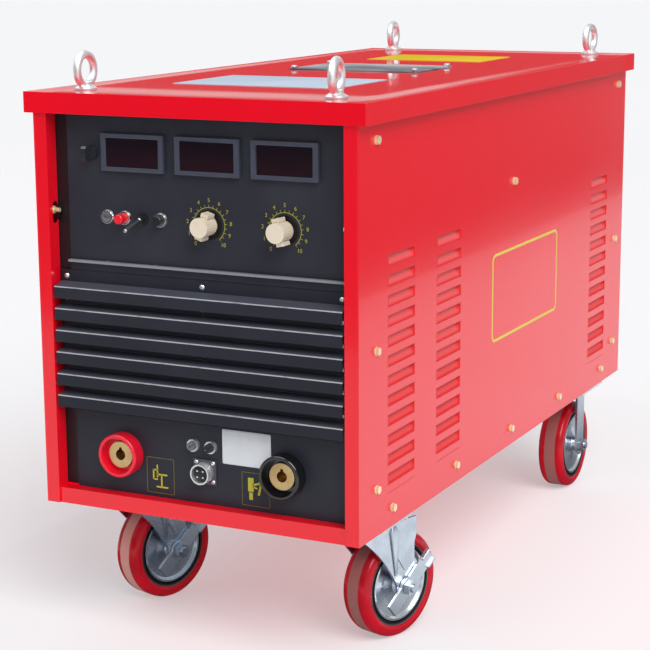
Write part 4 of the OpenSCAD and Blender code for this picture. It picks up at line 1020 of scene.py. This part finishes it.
# The cover plate's pale and dark mottling is painted reflection.
COVER_PLATE = MottledMetal("cover plate", (0.50, 0.52, 0.55), (0.13, 0.135, 0.15), rough=0.42,
                           draw=(0.5, 1.0, 1.0), metallic=0.55)
CREAM = Moulding("cream plastic", (0.78, 0.68, 0.53), (0.70, 0.58, 0.43), rough=0.33)
BUTTON_RED = Moulding("red plastic", (0.86, 0.006, 0.022), (0.76, 0.005, 0.020), rough=0.28, coat=0.15)
COLLAR_RED = Moulding("red insulator", (0.80, 0.005, 0.028), (0.70, 0.004, 0.024), rough=0.28, coat=0.2)
LATCH_GREY = Moulding("latch plastic", (0.022, 0.024, 0.030), (0.034, 0.036, 0.044), rough=0.22, coat=0.3)
BLACK = Moulding("black plastic", (0.009, 0.009, 0.010), (0.018, 0.018, 0.02), rough=0.34)
GLOSS_BLACK = Moulding("glossy black plastic", (0.006, 0.006, 0.007), (0.012, 0.012, 0.013), rough=0.18,
                       coat=0.4)
BEZEL = Moulding("bezel plastic", (0.050, 0.056, 0.082), (0.065, 0.072, 0.10), rough=0.36)
LAMP = Moulding("lamp window", (0.10, 0.105, 0.115), (0.05, 0.052, 0.06), rough=0.08, coat=0.9)
BOARD = Moulding("circuit board", (0.01, 0.12, 0.05), (0.02, 0.09, 0.04), rough=0.3, coat=0.4)
PALE = Moulding("pale moulding", (0.62, 0.62, 0.60), (0.55, 0.55, 0.52), rough=0.45)
WINDING = Winding("varnished copper")
YELLOW_INK = Sticker("yellow ink", (0.78, 0.60, 0.05), (0.72, 0.56, 0.10))
SIGN_INK = Sticker("sign ink", (0.50, 0.44, 0.010), (0.44, 0.40, 0.02))
SCALE_INK = Sticker("scale ink", (0.40, 0.35, 0.03), (0.34, 0.31, 0.04))
OLIVE_INK = Sticker("olive ink", (0.20, 0.17, 0.012), (0.15, 0.13, 0.015))
PALE_BLUE = Sticker("pale blue sheet", (0.56, 0.66, 0.78), (0.62, 0.70, 0.80), shine=0.0)
YELLOW_SHEET = Sticker("yellow sheet", (0.80, 0.55, 0.03), (0.84, 0.62, 0.08), shine=0.0)
WHITE_SHEET = Sticker("white sheet", (0.70, 0.72, 0.75), (0.62, 0.64, 0.68), rough=0.3)
DARK_CARD = CardPaint("dark card", (0.03, 0.03, 0.035), (0.03, 0.03, 0.035))
SIDE_CARD = CardPaint("side card", (0.015, 0.015, 0.02), (0.14, 0.14, 0.14))
BACK_CARD = CardPaint("white card", (0.62, 0.035, 0.04), (0.9, 0.9, 0.9), start=1.45, glow=1.05)
SKY_CARD = CardPaint("sky card", (0.95, 0.97, 1.0), (0.95, 0.97, 1.0), glow=3.5)
SHADE_CARD = CardPaint("shade card", (0.045, 0.055, 0.070), (0.90, 0.92, 0.95), axis=0, start=0.22,
                       reach=0.3)
UNDER_CARD = CardPaint("under card", (0.30, 0.35, 0.41), (0.30, 0.35, 0.41))
FLOOR_PAINT = FloorPaint("studio floor")
WALL_PAINT = FloorPaint("studio wall", glow=0.7)


class Bench:
    """Modelling steps that repeat, done with operators."""

    upward: float = 0.9

    @staticmethod
    def clear() -> None:
        """Leaves edit mode and deselects every object."""
        if bpy.context.object and bpy.context.object.mode != "OBJECT":
            bpy.ops.object.mode_set(mode="OBJECT")
        bpy.ops.object.select_all(action="DESELECT")

    @staticmethod
    def take(obj: bpy.types.Object) -> None:
        """Makes an object the only one that is selected."""
        Bench.clear()
        obj.select_set(True)
        bpy.context.view_layer.objects.active = obj

    @staticmethod
    def edit() -> None:
        """Enters edit mode with all of the mesh selected."""
        bpy.ops.object.mode_set(mode="EDIT")
        bpy.ops.mesh.select_all(action="SELECT")

    @staticmethod
    def leave() -> None:
        """Leaves edit mode."""
        bpy.ops.object.mode_set(mode="OBJECT")

    @staticmethod
    def edit_top(obj: bpy.types.Object) -> None:
        """Enters edit mode with only the faces that look up selected.

        Args:
            obj: the active object.
        """
        Bench.edit()
        bpy.ops.mesh.select_mode(type="FACE")
        bpy.ops.mesh.select_all(action="DESELECT")
        Bench.leave()
        for face in obj.data.polygons:
            face.select = face.normal.z > Bench.upward
        bpy.ops.object.mode_set(mode="EDIT")

    @staticmethod
    def sheet(width: float, height: float) -> bpy.types.Object:
        """Adds a flat sheet at the origin and leaves it in edit mode, selected all over.

        Args:
            width: its size along x.
            height: its size along y.

        Returns:
            The sheet.
        """
        Bench.clear()
        bpy.ops.mesh.primitive_plane_add(size=1.0)
        Bench.edit()
        bpy.ops.transform.resize(value=(width, height, 1.0))
        return bpy.context.object

    @staticmethod
    def modify(obj: bpy.types.Object, kind: str, **settings: object) -> None:
        """Adds a modifier and applies it.

        Args:
            obj: the object.
            kind: the modifier's type.
            settings: its attributes.
        """
        made = obj.modifiers.new("step", kind)
        for key, value in settings.items():
            setattr(made, key, value)
        Bench.take(obj)
        bpy.ops.object.modifier_apply(modifier=made.name)

    @staticmethod
    def roll(obj: bpy.types.Object, width: float, segments: int, angle: float, **settings: object) -> None:
        """Rolls the edges that turn by more than an angle in degrees."""
        Bench.modify(obj, "BEVEL", width=width, segments=segments, limit_method="ANGLE",
                     angle_limit=math.radians(angle), **settings)

    @staticmethod
    def seat(obj: bpy.types.Object, place: Matrix) -> None:
        """Moves a finished mesh to its place and leaves its object at the origin."""
        Bench.take(obj)
        obj.matrix_world = place
        bpy.ops.object.transform_apply(location=True, rotation=True, scale=True)

    @staticmethod
    def smooth(obj: bpy.types.Object, angle: float = 35.0) -> None:
        """Shades a mesh smooth up to an angle in degrees."""
        Bench.take(obj)
        bpy.ops.object.shade_smooth_by_angle(angle=math.radians(angle))

    @staticmethod
    def copy(source: bpy.types.Object, name: str) -> bpy.types.Object:
        """Returns a copy of an object with a mesh of its own."""
        obj = bpy.data.objects.new(name, source.data.copy())
        bpy.context.scene.collection.objects.link(obj)
        return obj

    @staticmethod
    def join(pieces: Sequence[bpy.types.Object]) -> bpy.types.Object:
        """Joins meshes into the first of them and returns it."""
        Bench.take(pieces[0])
        for piece in pieces:
            piece.select_set(True)
        bpy.ops.object.join()
        return pieces[0]

    @staticmethod
    def repeat(source: bpy.types.Object, name: str, places: Sequence[Matrix]) -> bpy.types.Object:
        """Copies a piece to each place, joins the copies and removes the first piece.

        Args:
            source: the piece, modelled at the origin.
            name: the copies' name.
            places: where each copy goes.

        Returns:
            The joined copies, smooth.
        """
        copies = []
        for place in places:
            copies.append(Bench.copy(source, name))
            Bench.seat(copies[-1], place)
        bpy.data.objects.remove(source)
        joined = Bench.join(copies)
        Bench.smooth(joined, 40.0)
        return joined

    @staticmethod
    def dress(obj: bpy.types.Object, finish: Finish) -> None:
        """Gives a piece one finish."""
        obj.data.materials.clear()
        obj.data.materials.append(finish.material())

    @staticmethod
    def fit(obj: bpy.types.Object, name: str, finish: Finish, slot: str, body: str = CABINET) -> None:
        """Names and dresses a new piece and ties it to its body.

        Args:
            obj: the piece.
            name: its name.
            finish: its finish.
            slot: the record's slot that its finish belongs to; not used.
            body: the body that it rides on.
        """
        obj.name = name
        Bench.dress(obj, finish)
        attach(obj, body)
        LOG.info("fitted %s", name)

    @staticmethod
    def show(obj: bpy.types.Object, name: str, finish: Finish, hidden: Sequence[str] = ()) -> None:
        """Names and dresses a piece of the stage.

        Args:
            obj: the piece.
            name: its name.
            finish: its finish.
            hidden: the kinds of rays that pass it by.
        """
        obj.name = name
        Bench.dress(obj, finish)
        for rays in hidden:
            setattr(obj, f"visible_{rays}", False)


@dataclass
class FlatSheet:
    """A thin sheet with round corners: a label place, a plate or an open border."""

    name: str
    finish: Finish
    slot: str
    facing: Facing
    centre: Vector
    width: float
    height: float
    thick: float = 0.0006
    corner: float = 0.004
    line: float = 0.0
    rim: float = 0.0
    lip: float = 0.4
    lift: float = 0.6
    soft: float = 0.25

    def build(self) -> None:
        """Models the sheet and fits it to the cabinet."""
        obj = Bench.sheet(self.width, self.height)
        bpy.ops.mesh.bevel(offset=self.corner, segments=6, affect="VERTICES")
        bpy.ops.mesh.select_all(action="SELECT")
        if self.line:
            bpy.ops.mesh.inset(thickness=self.line)
            bpy.ops.mesh.delete(type="FACE")
        elif self.rim:
            bpy.ops.mesh.inset(thickness=self.rim)
            bpy.ops.mesh.inset(thickness=self.rim * self.lip, depth=self.thick * self.lift)
        Bench.leave()
        Bench.modify(obj, "SOLIDIFY", thickness=self.thick, offset=1.0)
        Bench.roll(obj, self.thick * self.soft, 2, 50.0)
        Bench.seat(obj, self.facing.place(self.centre))
        Bench.smooth(obj)
        Bench.fit(obj, self.name, self.finish, self.slot)


@dataclass
class DomeScrews:
    """Small round-head screws with a socket in the head, modelled once and copied."""

    name: str
    finish: Finish
    slot: str
    facing: Facing
    centres: Tuple[Vector, ...]
    radius: float = 0.005
    height: float = 0.003
    slope: float = 0.45
    rise: float = 0.35
    land: float = 0.25
    sink: float = 0.4
    soft: float = 0.1

    def head(self) -> bpy.types.Object:
        """Models one head at the origin, facing up.

        Returns:
            The head.
        """
        Bench.clear()
        bpy.ops.mesh.primitive_cylinder_add(vertices=24, radius=self.radius, depth=self.height,
                                            location=(0, 0, self.height / 2))
        obj = bpy.context.object
        Bench.edit_top(obj)
        bpy.ops.mesh.inset(thickness=self.radius * self.slope)
        bpy.ops.transform.translate(value=(0, 0, self.height * self.rise))
        bpy.ops.mesh.inset(thickness=self.radius * self.land)
        inward = (0, 0, -self.height * self.sink)
        bpy.ops.mesh.extrude_region_move(TRANSFORM_OT_translate={"value": inward})
        Bench.leave()
        Bench.roll(obj, self.radius * self.soft, 2, 30.0)
        bpy.ops.object.transform_apply(location=True, rotation=True, scale=True)
        return obj

    def build(self) -> None:
        """Copies the head to each place and fits the copies to the cabinet."""
        obj = Bench.repeat(self.head(), self.name, [self.facing.place(centre) for centre in self.centres])
        Bench.fit(obj, self.name, self.finish, self.slot)


@dataclass
class DialNumbers:
    """Plain numbers round a knob's scale, their places in cabinet millimetres."""

    name: str
    centre_x: float
    labels: Tuple[str, ...] = tuple(str(number) for number in range(11))
    radius: float = 32.5
    size: float = 0.0075
    thick: float = 0.0002

    def number(self, text: str, angle: float) -> bpy.types.Object:
        """Models one number at its place on the panel.

        Args:
            text: the number.
            angle: clockwise angle from the top, in radians.

        Returns:
            The number as a mesh.
        """
        Bench.clear()
        bpy.ops.object.text_add()
        obj = bpy.context.object
        obj.data.body = text
        obj.data.size = self.size
        obj.data.align_x = "CENTER"
        obj.data.align_y = "CENTER"
        obj.data.extrude = self.thick
        Bench.take(obj)
        bpy.ops.object.convert(target="MESH")
        x = self.centre_x + self.radius * math.sin(angle)
        z = KNOB_Z + self.radius * math.cos(angle)
        Bench.seat(obj, Facing.FRONT.place(at(x, PANEL_Y, z)))
        return obj

    def build(self) -> None:
        """Models all numbers, joins them and fits them to the cabinet."""
        step = 2 * SCALE_TURN / (len(self.labels) - 1)
        marks = [self.number(text, -SCALE_TURN + i * step) for i, text in enumerate(self.labels)]
        Bench.fit(Bench.join(marks), self.name, SCALE_INK, PRINT_SLOT)


@dataclass
class PrintedSign:
    """A plain sign printed in straight strokes."""

    name: str
    centre: Vector
    strokes: Tuple[Stroke, ...]
    thick: float = 0.0002
    corner: float = 0.0006

    def stroke(self, x: float, y: float, length: float, width: float, angle: float) -> bpy.types.Object:
        """Models one stroke, lying flat.

        Args:
            x: its middle across the sign, in millimetres.
            y: its middle up the sign, in millimetres.
            length: its length in millimetres.
            width: its width in millimetres.
            angle: its turn from level, in degrees.

        Returns:
            The stroke as a mesh.
        """
        obj = Bench.sheet(length * MM, width * MM)
        bpy.ops.mesh.bevel(offset=self.corner, segments=3, affect="VERTICES")
        Bench.leave()
        Bench.modify(obj, "SOLIDIFY", thickness=self.thick, offset=1.0)
        turn = Matrix.Rotation(math.radians(angle), 4, "Z")
        Bench.seat(obj, Matrix.Translation((x * MM, y * MM, 0)) @ turn)
        return obj

    def build(self) -> None:
        """Models the strokes, joins them and fits them to the cabinet."""
        obj = Bench.join([self.stroke(*values) for values in self.strokes])
        Bench.seat(obj, Facing.FRONT.place(self.centre))
        Bench.fit(obj, self.name, SIGN_INK, PRINT_SLOT)


@dataclass
class SoftEdge:
    """A copy of a solid with merged faces and rolled edges, which stands for it."""

    node: str
    finish: Finish
    width: float = 0.0
    segments: int = 2
    clamp: bool = True
    angle: float = 34.0
    weld: float = 0.000002
    flat: float = 0.3

    def build(self) -> None:
        """Copies the solid, rolls its edges and puts the copy in its stead."""
        source = frame["nodes"][self.node]
        name = self.node + "_rolled"
        obj = Bench.copy(source, name)
        Bench.take(obj)
        bpy.ops.mesh.customdata_custom_splitnormals_clear()
        Bench.edit()
        bpy.ops.mesh.remove_doubles(threshold=self.weld)
        bpy.ops.mesh.dissolve_limited(angle_limit=math.radians(self.flat))
        Bench.leave()
        if self.width:
            Bench.roll(obj, self.width, self.segments, self.angle, use_clamp_overlap=self.clamp,
                       miter_outer="MITER_ARC")
        Bench.smooth(obj, self.angle)
        Bench.modify(obj, "WEIGHTED_NORMAL", keep_sharp=True)
        Bench.fit(obj, name, self.finish, SLOTS[self.node], source["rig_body"])
        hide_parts(self.node)


Laid = Union[FlatSheet, DomeScrews, DialNumbers, PrintedSign]


@dataclass
class Assembly:
    """A group of nodes, some with rolled edges and some as they are, and the pieces laid on them."""

    rolled: Tuple[SoftEdge, ...] = ()
    plain: Dressing = ()
    laid: Tuple[Laid, ...] = ()

    def build(self) -> None:
        """Rolls edges, dresses the other nodes and lays the new pieces on."""
        for piece in self.rolled:
            piece.build()
        for node, finish in self.plain:
            Bench.dress(frame["nodes"][node], finish)
            LOG.info("dressed %s", node)
        for piece in self.laid:
            piece.build()


@dataclass
class Cabinet(Assembly):
    """Sheet metal shell with the sheets on its cover and the border on its right side."""

    rolled: Tuple[SoftEdge, ...] = (SoftEdge("top_cover", LID_COAT, 0.0016),
                                    SoftEdge("base_frame", RED_COAT, 0.0008),
                                    SoftEdge("front_frame", FRAME_COAT, 0.0009))
    plain: Dressing = (("rear_panel", RED_COAT), ("left_side_panel", SIDE_COAT),
                       ("right_side_panel", SIDE_COAT))
    laid: Tuple[Laid, ...] = (
        FlatSheet("front_cover_sheet", PALE_BLUE, "panel_black", Facing.UP, at(-11.5, 277, LID_TOP),
                  width=0.253, height=0.174, rim=0.003),
        FlatSheet("cover_plate", COVER_PLATE, "inner_steel", Facing.UP, at(PLATE_X, PLATE_Y, LID_TOP),
                  width=0.218, height=0.140, thick=0.0015, corner=0.006, rim=0.004),
        FlatSheet("rear_cover_sheet", YELLOW_SHEET, PRINT_SLOT, Facing.UP, at(-12.5, 854, LID_TOP),
                  width=0.205, height=0.140, rim=0.003),
        DomeScrews("cover_plate_screws", ZINC, "zinc", Facing.UP,
                   tuple(at(PLATE_X + x, PLATE_Y + y, LID_TOP + SCREW_LIFT)
                         for x in (-SCREW_X, SCREW_X) for y in (-SCREW_Y, SCREW_Y))),
        FlatSheet("right_border", YELLOW_INK, PRINT_SLOT, Facing.RIGHT, at(SIDE_X, 603.5, 242.5),
                  width=0.287, height=0.133, thick=0.0003, corner=0.012, line=0.0042))


@dataclass
class FrontFace(Assembly):
    """Dark front: panels, slats, meters and the marks printed on them."""

    rolled: Tuple[SoftEdge, ...] = (SoftEdge("louvre_slats", SLAT_PAINT, 0.0007),
                                    SoftEdge("meter_bezels", BEZEL, 0.001))
    plain: Dressing = (("control_panel", DIAL_PAINT), ("louvre_panel", LEDGE_PAINT),
                       ("lower_panel", CHARCOAL), ("meter_lenses", METER_WINDOW))
    laid: Tuple[Laid, ...] = (
        DialNumbers("current_scale_numbers", KNOB_X[0]),
        DialNumbers("time_scale_numbers", KNOB_X[1]),
        FlatSheet("bare_plate", WHITE_SHEET, "bezel_grey", Facing.FRONT, at(66.3, PANEL_Y, 105.7),
                  width=0.073, height=0.0475, corner=0.002, rim=0.0012),
        FlatSheet("left_frame", OLIVE_INK, PRINT_SLOT, Facing.FRONT, at(SIGN_X[0], PANEL_Y, SIGN_Z[0]),
                  width=0.043, height=0.050, thick=0.0002, corner=0.001, line=0.0007),
        FlatSheet("right_frame", OLIVE_INK, PRINT_SLOT, Facing.FRONT, at(SIGN_X[1], PANEL_Y, SIGN_Z[1]),
                  width=0.042, height=0.046, thick=0.0002, corner=0.001, line=0.0007),
        PrintedSign("clamp_sign", at(SIGN_X[0], PANEL_Y, SIGN_Z[0]), strokes=(
            (2, 1.5, 17, 2.2, 0), (1.6, -7.2, 17, 2.2, 90), (2.4, -16, 18.5, 2.2, 0), (-11, 1, 15, 2.2, 90),
            (-8, 7.6, 7, 2, 0), (-8, -5.6, 7, 2, 0), (-5, 6, 18, 2, 90))),
        PrintedSign("gun_sign", at(SIGN_X[1], PANEL_Y, SIGN_Z[1]), strokes=(
            (-7.6, 6.2, 19, 8.5, 90), (-7.4, -9.5, 10, 5.5, 90), (2.0, 8.2, 14, 3, 20),
            (6.2, 1.5, 18, 3.2, 76), (-1.0, 2.6, 7, 2.2, -8))))


@dataclass
class Controls(Assembly):
    """Knobs, buttons, lamp, switch, latch, sockets, connector and fuses."""

    rolled: Tuple[SoftEdge, ...] = (
        SoftEdge("current_knob", CREAM, 0.0006), SoftEdge("time_knob", CREAM, 0.0006),
        SoftEdge("panel_latch", LATCH_GREY, 0.0008), SoftEdge("red_button", BUTTON_RED),
        SoftEdge("black_button", BLACK), SoftEdge("power_lamp", LAMP),
        SoftEdge("control_bushes", SWITCH_METAL, 0.0003), SoftEdge("toggle_lever", LEVER_METAL),
        SoftEdge("red_socket_collar", COLLAR_RED, 0.0006),
        SoftEdge("black_socket_collar", GLOSS_BLACK, 0.0006),
        SoftEdge("left_socket_insert", BRASS, 0.0005), SoftEdge("right_socket_insert", BRASS, 0.0005),
        SoftEdge("connector_shell", SHELL_METAL, 0.0003), SoftEdge("connector_insert", PIN_METAL, 0.0002),
        SoftEdge("fuse_holders", FUSE_METAL, 0.0003))
    plain: Dressing = (("potentiometers", ZINC), ("front_screws", ZINC))


@dataclass
class Casters(Assembly):
    """Two swivel casters with brakes and two fixed casters."""

    rolled: Tuple[SoftEdge, ...] = (
        *(SoftEdge(node, BLUE_ZINC, 0.0011, segments=3)
          for node in ("left_swivel_fork", "right_swivel_fork", "rear_left_fork", "rear_right_fork")),
        *(SoftEdge(node, PRESSED_ZINC, 0.0009, segments=3, clamp=False)
          for node in ("left_brake_lever", "right_brake_lever")),
        *(SoftEdge(node, BLUE_ZINC, 0.0004)
          for node in ("left_swivel_plate", "right_swivel_plate", "left_swivel_axle", "right_swivel_axle",
                       "rear_axles")))
    hands: Tuple[Tuple[int, str], ...] = ((-1, "left"), (1, "right"))
    swivel: float = math.radians(17.5)
    trail: float = 0.052
    caster_x: float = 0.183
    front_y: float = 0.135 - MID_Y
    rear_y: float = 0.969 - MID_Y
    wheel_r: float = 0.075
    core: Tuple[Color, Color] = ((0.86, 0.90, 0.95), (0.66, 0.71, 0.78))
    tyre: Color = (0.52, 0.002, 0.014)
    tread: Color = (0.30, 0.15, 0.135)
    # Paler tread colour for the front left tyre: painted sunlight on its lit tread.
    dusty: Color = (0.66, 0.36, 0.30)
    leg_out: float = 0.031
    rib_l: float = 0.062
    rib_r: Span = (0.003, 0.009)
    rib_end: float = 0.014
    rib_tip: float = 0.2
    rib_flat: float = 0.6
    rib_sink: float = 0.0008
    rib_soft: float = 0.003
    rib_at: Span = (0.0289, 0.127)
    rib_lean: float = math.radians(4.1)

    def axle(self, end: str, side: int) -> Tuple[Point, Point]:
        """Returns a wheel's centre and its axle's direction.

        Args:
            end: front for a swivel caster, rear for a fixed one.
            side: -1 on the left and 1 on the right.

        Returns:
            The centre and the unit direction, in the row frame.
        """
        x = side * self.caster_x
        if end == "rear":
            return (x, self.rear_y, self.wheel_r), (1.0, 0.0, 0.0)
        s, c = math.sin(self.swivel), math.cos(self.swivel)
        return (x + self.trail * s, self.front_y + self.trail * c, self.wheel_r), (c, -s, 0.0)

    def build(self) -> None:
        """Makes the wheels, the forks with their fittings, and the ribs."""
        self.wheels()
        super().build()
        self.ribs()

    def wheels(self) -> None:
        """Rolls and dresses the wheels and their tyres."""
        for end in ("front", "rear"):
            for side, hand in self.hands:
                centre, axis = self.axle(end, side)
                core = WheelMetal(f"{end} {hand} core", *self.core, rough=0.2, relief=0.00002, centre=centre,
                                  axis=axis)
                # The front left tyre's tread takes the paler colour as painted sunlight.
                tread = self.dusty if (end, hand) == ("front", "left") else self.tread
                tyre = Urethane(f"{end} {hand} urethane", self.tyre, tread, centre, axis)
                SoftEdge(f"{end}_{hand}_wheel", core, 0.0005).build()
                SoftEdge(f"{end}_{hand}_tyre", tyre).build()

    def rib(self) -> bpy.types.Object:
        """Models one tapered rib at the origin, upright, half of it standing out to +x.

        Returns:
            The rib.
        """
        Bench.clear()
        bpy.ops.mesh.primitive_cone_add(vertices=48, radius1=self.rib_r[0], radius2=self.rib_r[1],
                                        depth=self.rib_l)
        obj = bpy.context.object
        Bench.edit_top(obj)
        bpy.ops.mesh.extrude_region_move(TRANSFORM_OT_translate={"value": (0, 0, self.rib_end)})
        bpy.ops.transform.resize(value=(self.rib_tip, self.rib_tip, 1.0))
        bpy.ops.mesh.select_all(action="SELECT")
        bpy.ops.transform.resize(value=(self.rib_flat, 1.0, 1.0))
        bpy.ops.mesh.bisect(plane_co=(-self.rib_sink, 0, 0), plane_no=(1, 0, 0), use_fill=True,
                            clear_inner=True)
        Bench.leave()
        Bench.roll(obj, self.rib_soft, 4, 25.0)
        return obj

    def ribs(self) -> None:
        """Sets the pressed ribs on both legs of each swivel fork."""
        lean = Matrix.Rotation(self.rib_lean, 4, "X")
        for side, hand in self.hands:
            fork = f"{hand}_swivel_fork"
            base = Matrix.Translation((side * self.caster_x, self.front_y, 0))
            base = base @ Matrix.Rotation(-self.swivel, 4, "Z")
            places = []
            for turn in (0.0, math.pi):
                spot = Matrix.Translation((self.leg_out * math.cos(turn), *self.rib_at))
                places.append(base @ spot @ lean @ Matrix.Rotation(turn, 4, "Z"))
            name = f"{hand}_fork_ribs"
            obj = Bench.repeat(self.rib(), name, places)
            Bench.fit(obj, name, BLUE_ZINC, SLOTS[fork], frame["nodes"][fork]["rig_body"])


@dataclass
class Hardware(Assembly):
    """Lifting eyes, bolts, rear fittings and what lies inside."""

    rolled: Tuple[SoftEdge, ...] = (
        SoftEdge("eye_bolts", EYE_ZINC, 0.0006), SoftEdge("panel_bolts", YELLOW_ZINC, 0.0004),
        SoftEdge("cable_gland", BLACK), SoftEdge("breaker_body", PALE, 0.0008),
        SoftEdge("breaker_handle", BLACK, 0.0008))
    plain: Dressing = (("lifting_frame", STEEL), ("transformer_core", IRON), ("transformer_coils", WINDING),
                       ("rectifier", ALUMINIUM), ("control_board", BOARD), ("fan_frame", BLACK),
                       ("fan_rotor", BLACK))


@dataclass
class Card:
    """A flat card that only the gloss reflects, raised from lying flat and turned about the upright."""

    name: str
    where: Point
    size: Span
    finish: Finish
    raised: float = 0.0
    turned: float = 0.0

    def build(self) -> None:
        """Models the card; its angles are in degrees."""
        obj = Bench.sheet(*self.size)
        bpy.ops.mesh.subdivide(number_cuts=2)
        Bench.leave()
        turn = Matrix.Rotation(math.radians(self.turned), 4, "Z")
        stand = turn @ Matrix.Rotation(math.radians(self.raised), 4, "X")
        Bench.seat(obj, Matrix.Translation(self.where) @ stand)
        Bench.show(obj, self.name, self.finish, ("camera", "diffuse", "shadow"))


@dataclass
class Studio:
    """Pale floor, soft light and the camera at the photograph's angle."""

    eye: Point = (1.1836, -1.9962 - MID_Y, 0.940)
    azimuth: float = 26.391
    elevation: float = 11.832
    roll: float = -0.357
    focal_px: float = 1809.5
    image_px: float = 650.0
    sensor: float = 36.0
    floor_size: float = 120.0
    wall_h: float = 16.0
    wall_r: float = 58.0
    sky: Color = (0.93, 0.96, 1.0)
    sky_power: float = 0.45
    sun_from: Point = (0.55, -0.46, 0.70)
    sun_power: float = 2.3
    sun_spread: float = math.radians(40.0)
    cards: Tuple[Card, ...] = (
        Card("front_card", (-1.6, -2.35, 0.45), (4.2, 0.9), DARK_CARD, raised=90.0),
        Card("side_card", (1.35, 3.0, 0.35), (4.4, 0.7), SIDE_CARD, raised=90.0, turned=90.0),
        Card("back_card", (-2.6, 5.4, 2.6), (6.0, 3.6), BACK_CARD, raised=90.0),
        Card("sky_card", (-1.2, -1.0, 3.0), (2.5, 2.5), SKY_CARD),
        Card("under_card", (0.0, 0.0, CASTER_H - 0.0003), (0.46, 1.06), UNDER_CARD),
        Card("shade_card", (0.30, 0.15, 0.002), (1.6, 1.8), SHADE_CARD))

    def build(self) -> None:
        """Makes the floor, the backdrop, the lights, the cards and the camera."""
        self.floor()
        self.backdrop()
        self.lights()
        for card in self.cards:
            card.build()
        self.camera()

    def floor(self) -> None:
        """Models a floor that reaches past the top of the picture."""
        obj = Bench.sheet(self.floor_size, self.floor_size)
        bpy.ops.mesh.subdivide(number_cuts=3)
        Bench.leave()
        Bench.show(obj, "floor", FLOOR_PAINT)

    def backdrop(self) -> None:
        """Models a pale round wall far behind, which takes no part in the light."""
        Bench.clear()
        bpy.ops.mesh.primitive_cylinder_add(vertices=96, radius=self.wall_r, depth=self.wall_h,
                                            end_fill_type="NOTHING")
        obj = bpy.context.object
        Bench.edit()
        bpy.ops.mesh.subdivide(number_cuts=1)
        Bench.leave()
        Bench.seat(obj, Matrix.Translation((0, 0, self.wall_h / 2)))
        Bench.show(obj, "backdrop", WALL_PAINT, ("diffuse", "glossy", "shadow"))

    def lights(self) -> None:
        """Sets the sky and a broad sun."""
        world = bpy.data.worlds.new("studio sky")
        bpy.context.scene.world = world
        world.use_nodes = True
        sky = world.node_tree.nodes["Background"]
        sky.inputs["Color"].default_value = (*self.sky, 1.0)
        sky.inputs["Strength"].default_value = self.sky_power
        data = bpy.data.lights.new("sun", "SUN")
        data.energy = self.sun_power
        data.angle = self.sun_spread
        obj = bpy.data.objects.new("sun", data)
        bpy.context.scene.collection.objects.link(obj)
        obj.rotation_euler = Vector(self.sun_from).to_track_quat("Z", "Y").to_euler()

    def camera(self) -> None:
        """Sets the camera that was solved from the photograph."""
        az, el, roll = (math.radians(v) for v in (self.azimuth, self.elevation, self.roll))
        ahead = Vector((-math.sin(az) * math.cos(el), math.cos(az) * math.cos(el), -math.sin(el)))
        right = Vector((math.cos(az), math.sin(az), 0.0))
        up = right.cross(ahead)
        right, up = (math.cos(roll) * right + math.sin(roll) * up,
                     math.cos(roll) * up - math.sin(roll) * right)
        data = bpy.data.cameras.new("photo camera")
        data.sensor_width = self.sensor
        data.lens = self.focal_px / self.image_px * self.sensor
        data.clip_end = self.floor_size
        obj = bpy.data.objects.new("photo camera", data)
        bpy.context.scene.collection.objects.link(obj)
        turn = Matrix((right, up, -ahead)).transposed().to_4x4()
        obj.matrix_world = Matrix.Translation(Vector(self.eye)) @ turn
        bpy.context.scene.camera = obj
        bpy.context.scene.view_settings.view_transform = "Standard"


def main() -> None:
    """Builds the pieces in order and logs each one."""
    logging.basicConfig(level=logging.INFO, format="%(name)s: %(message)s")
    for part in (Studio(), Cabinet(), FrontFace(), Controls(), Casters(), Hardware()):
        part.build()
        LOG.info("built %s", type(part).__name__)


if __name__ == "__main__":
    main()
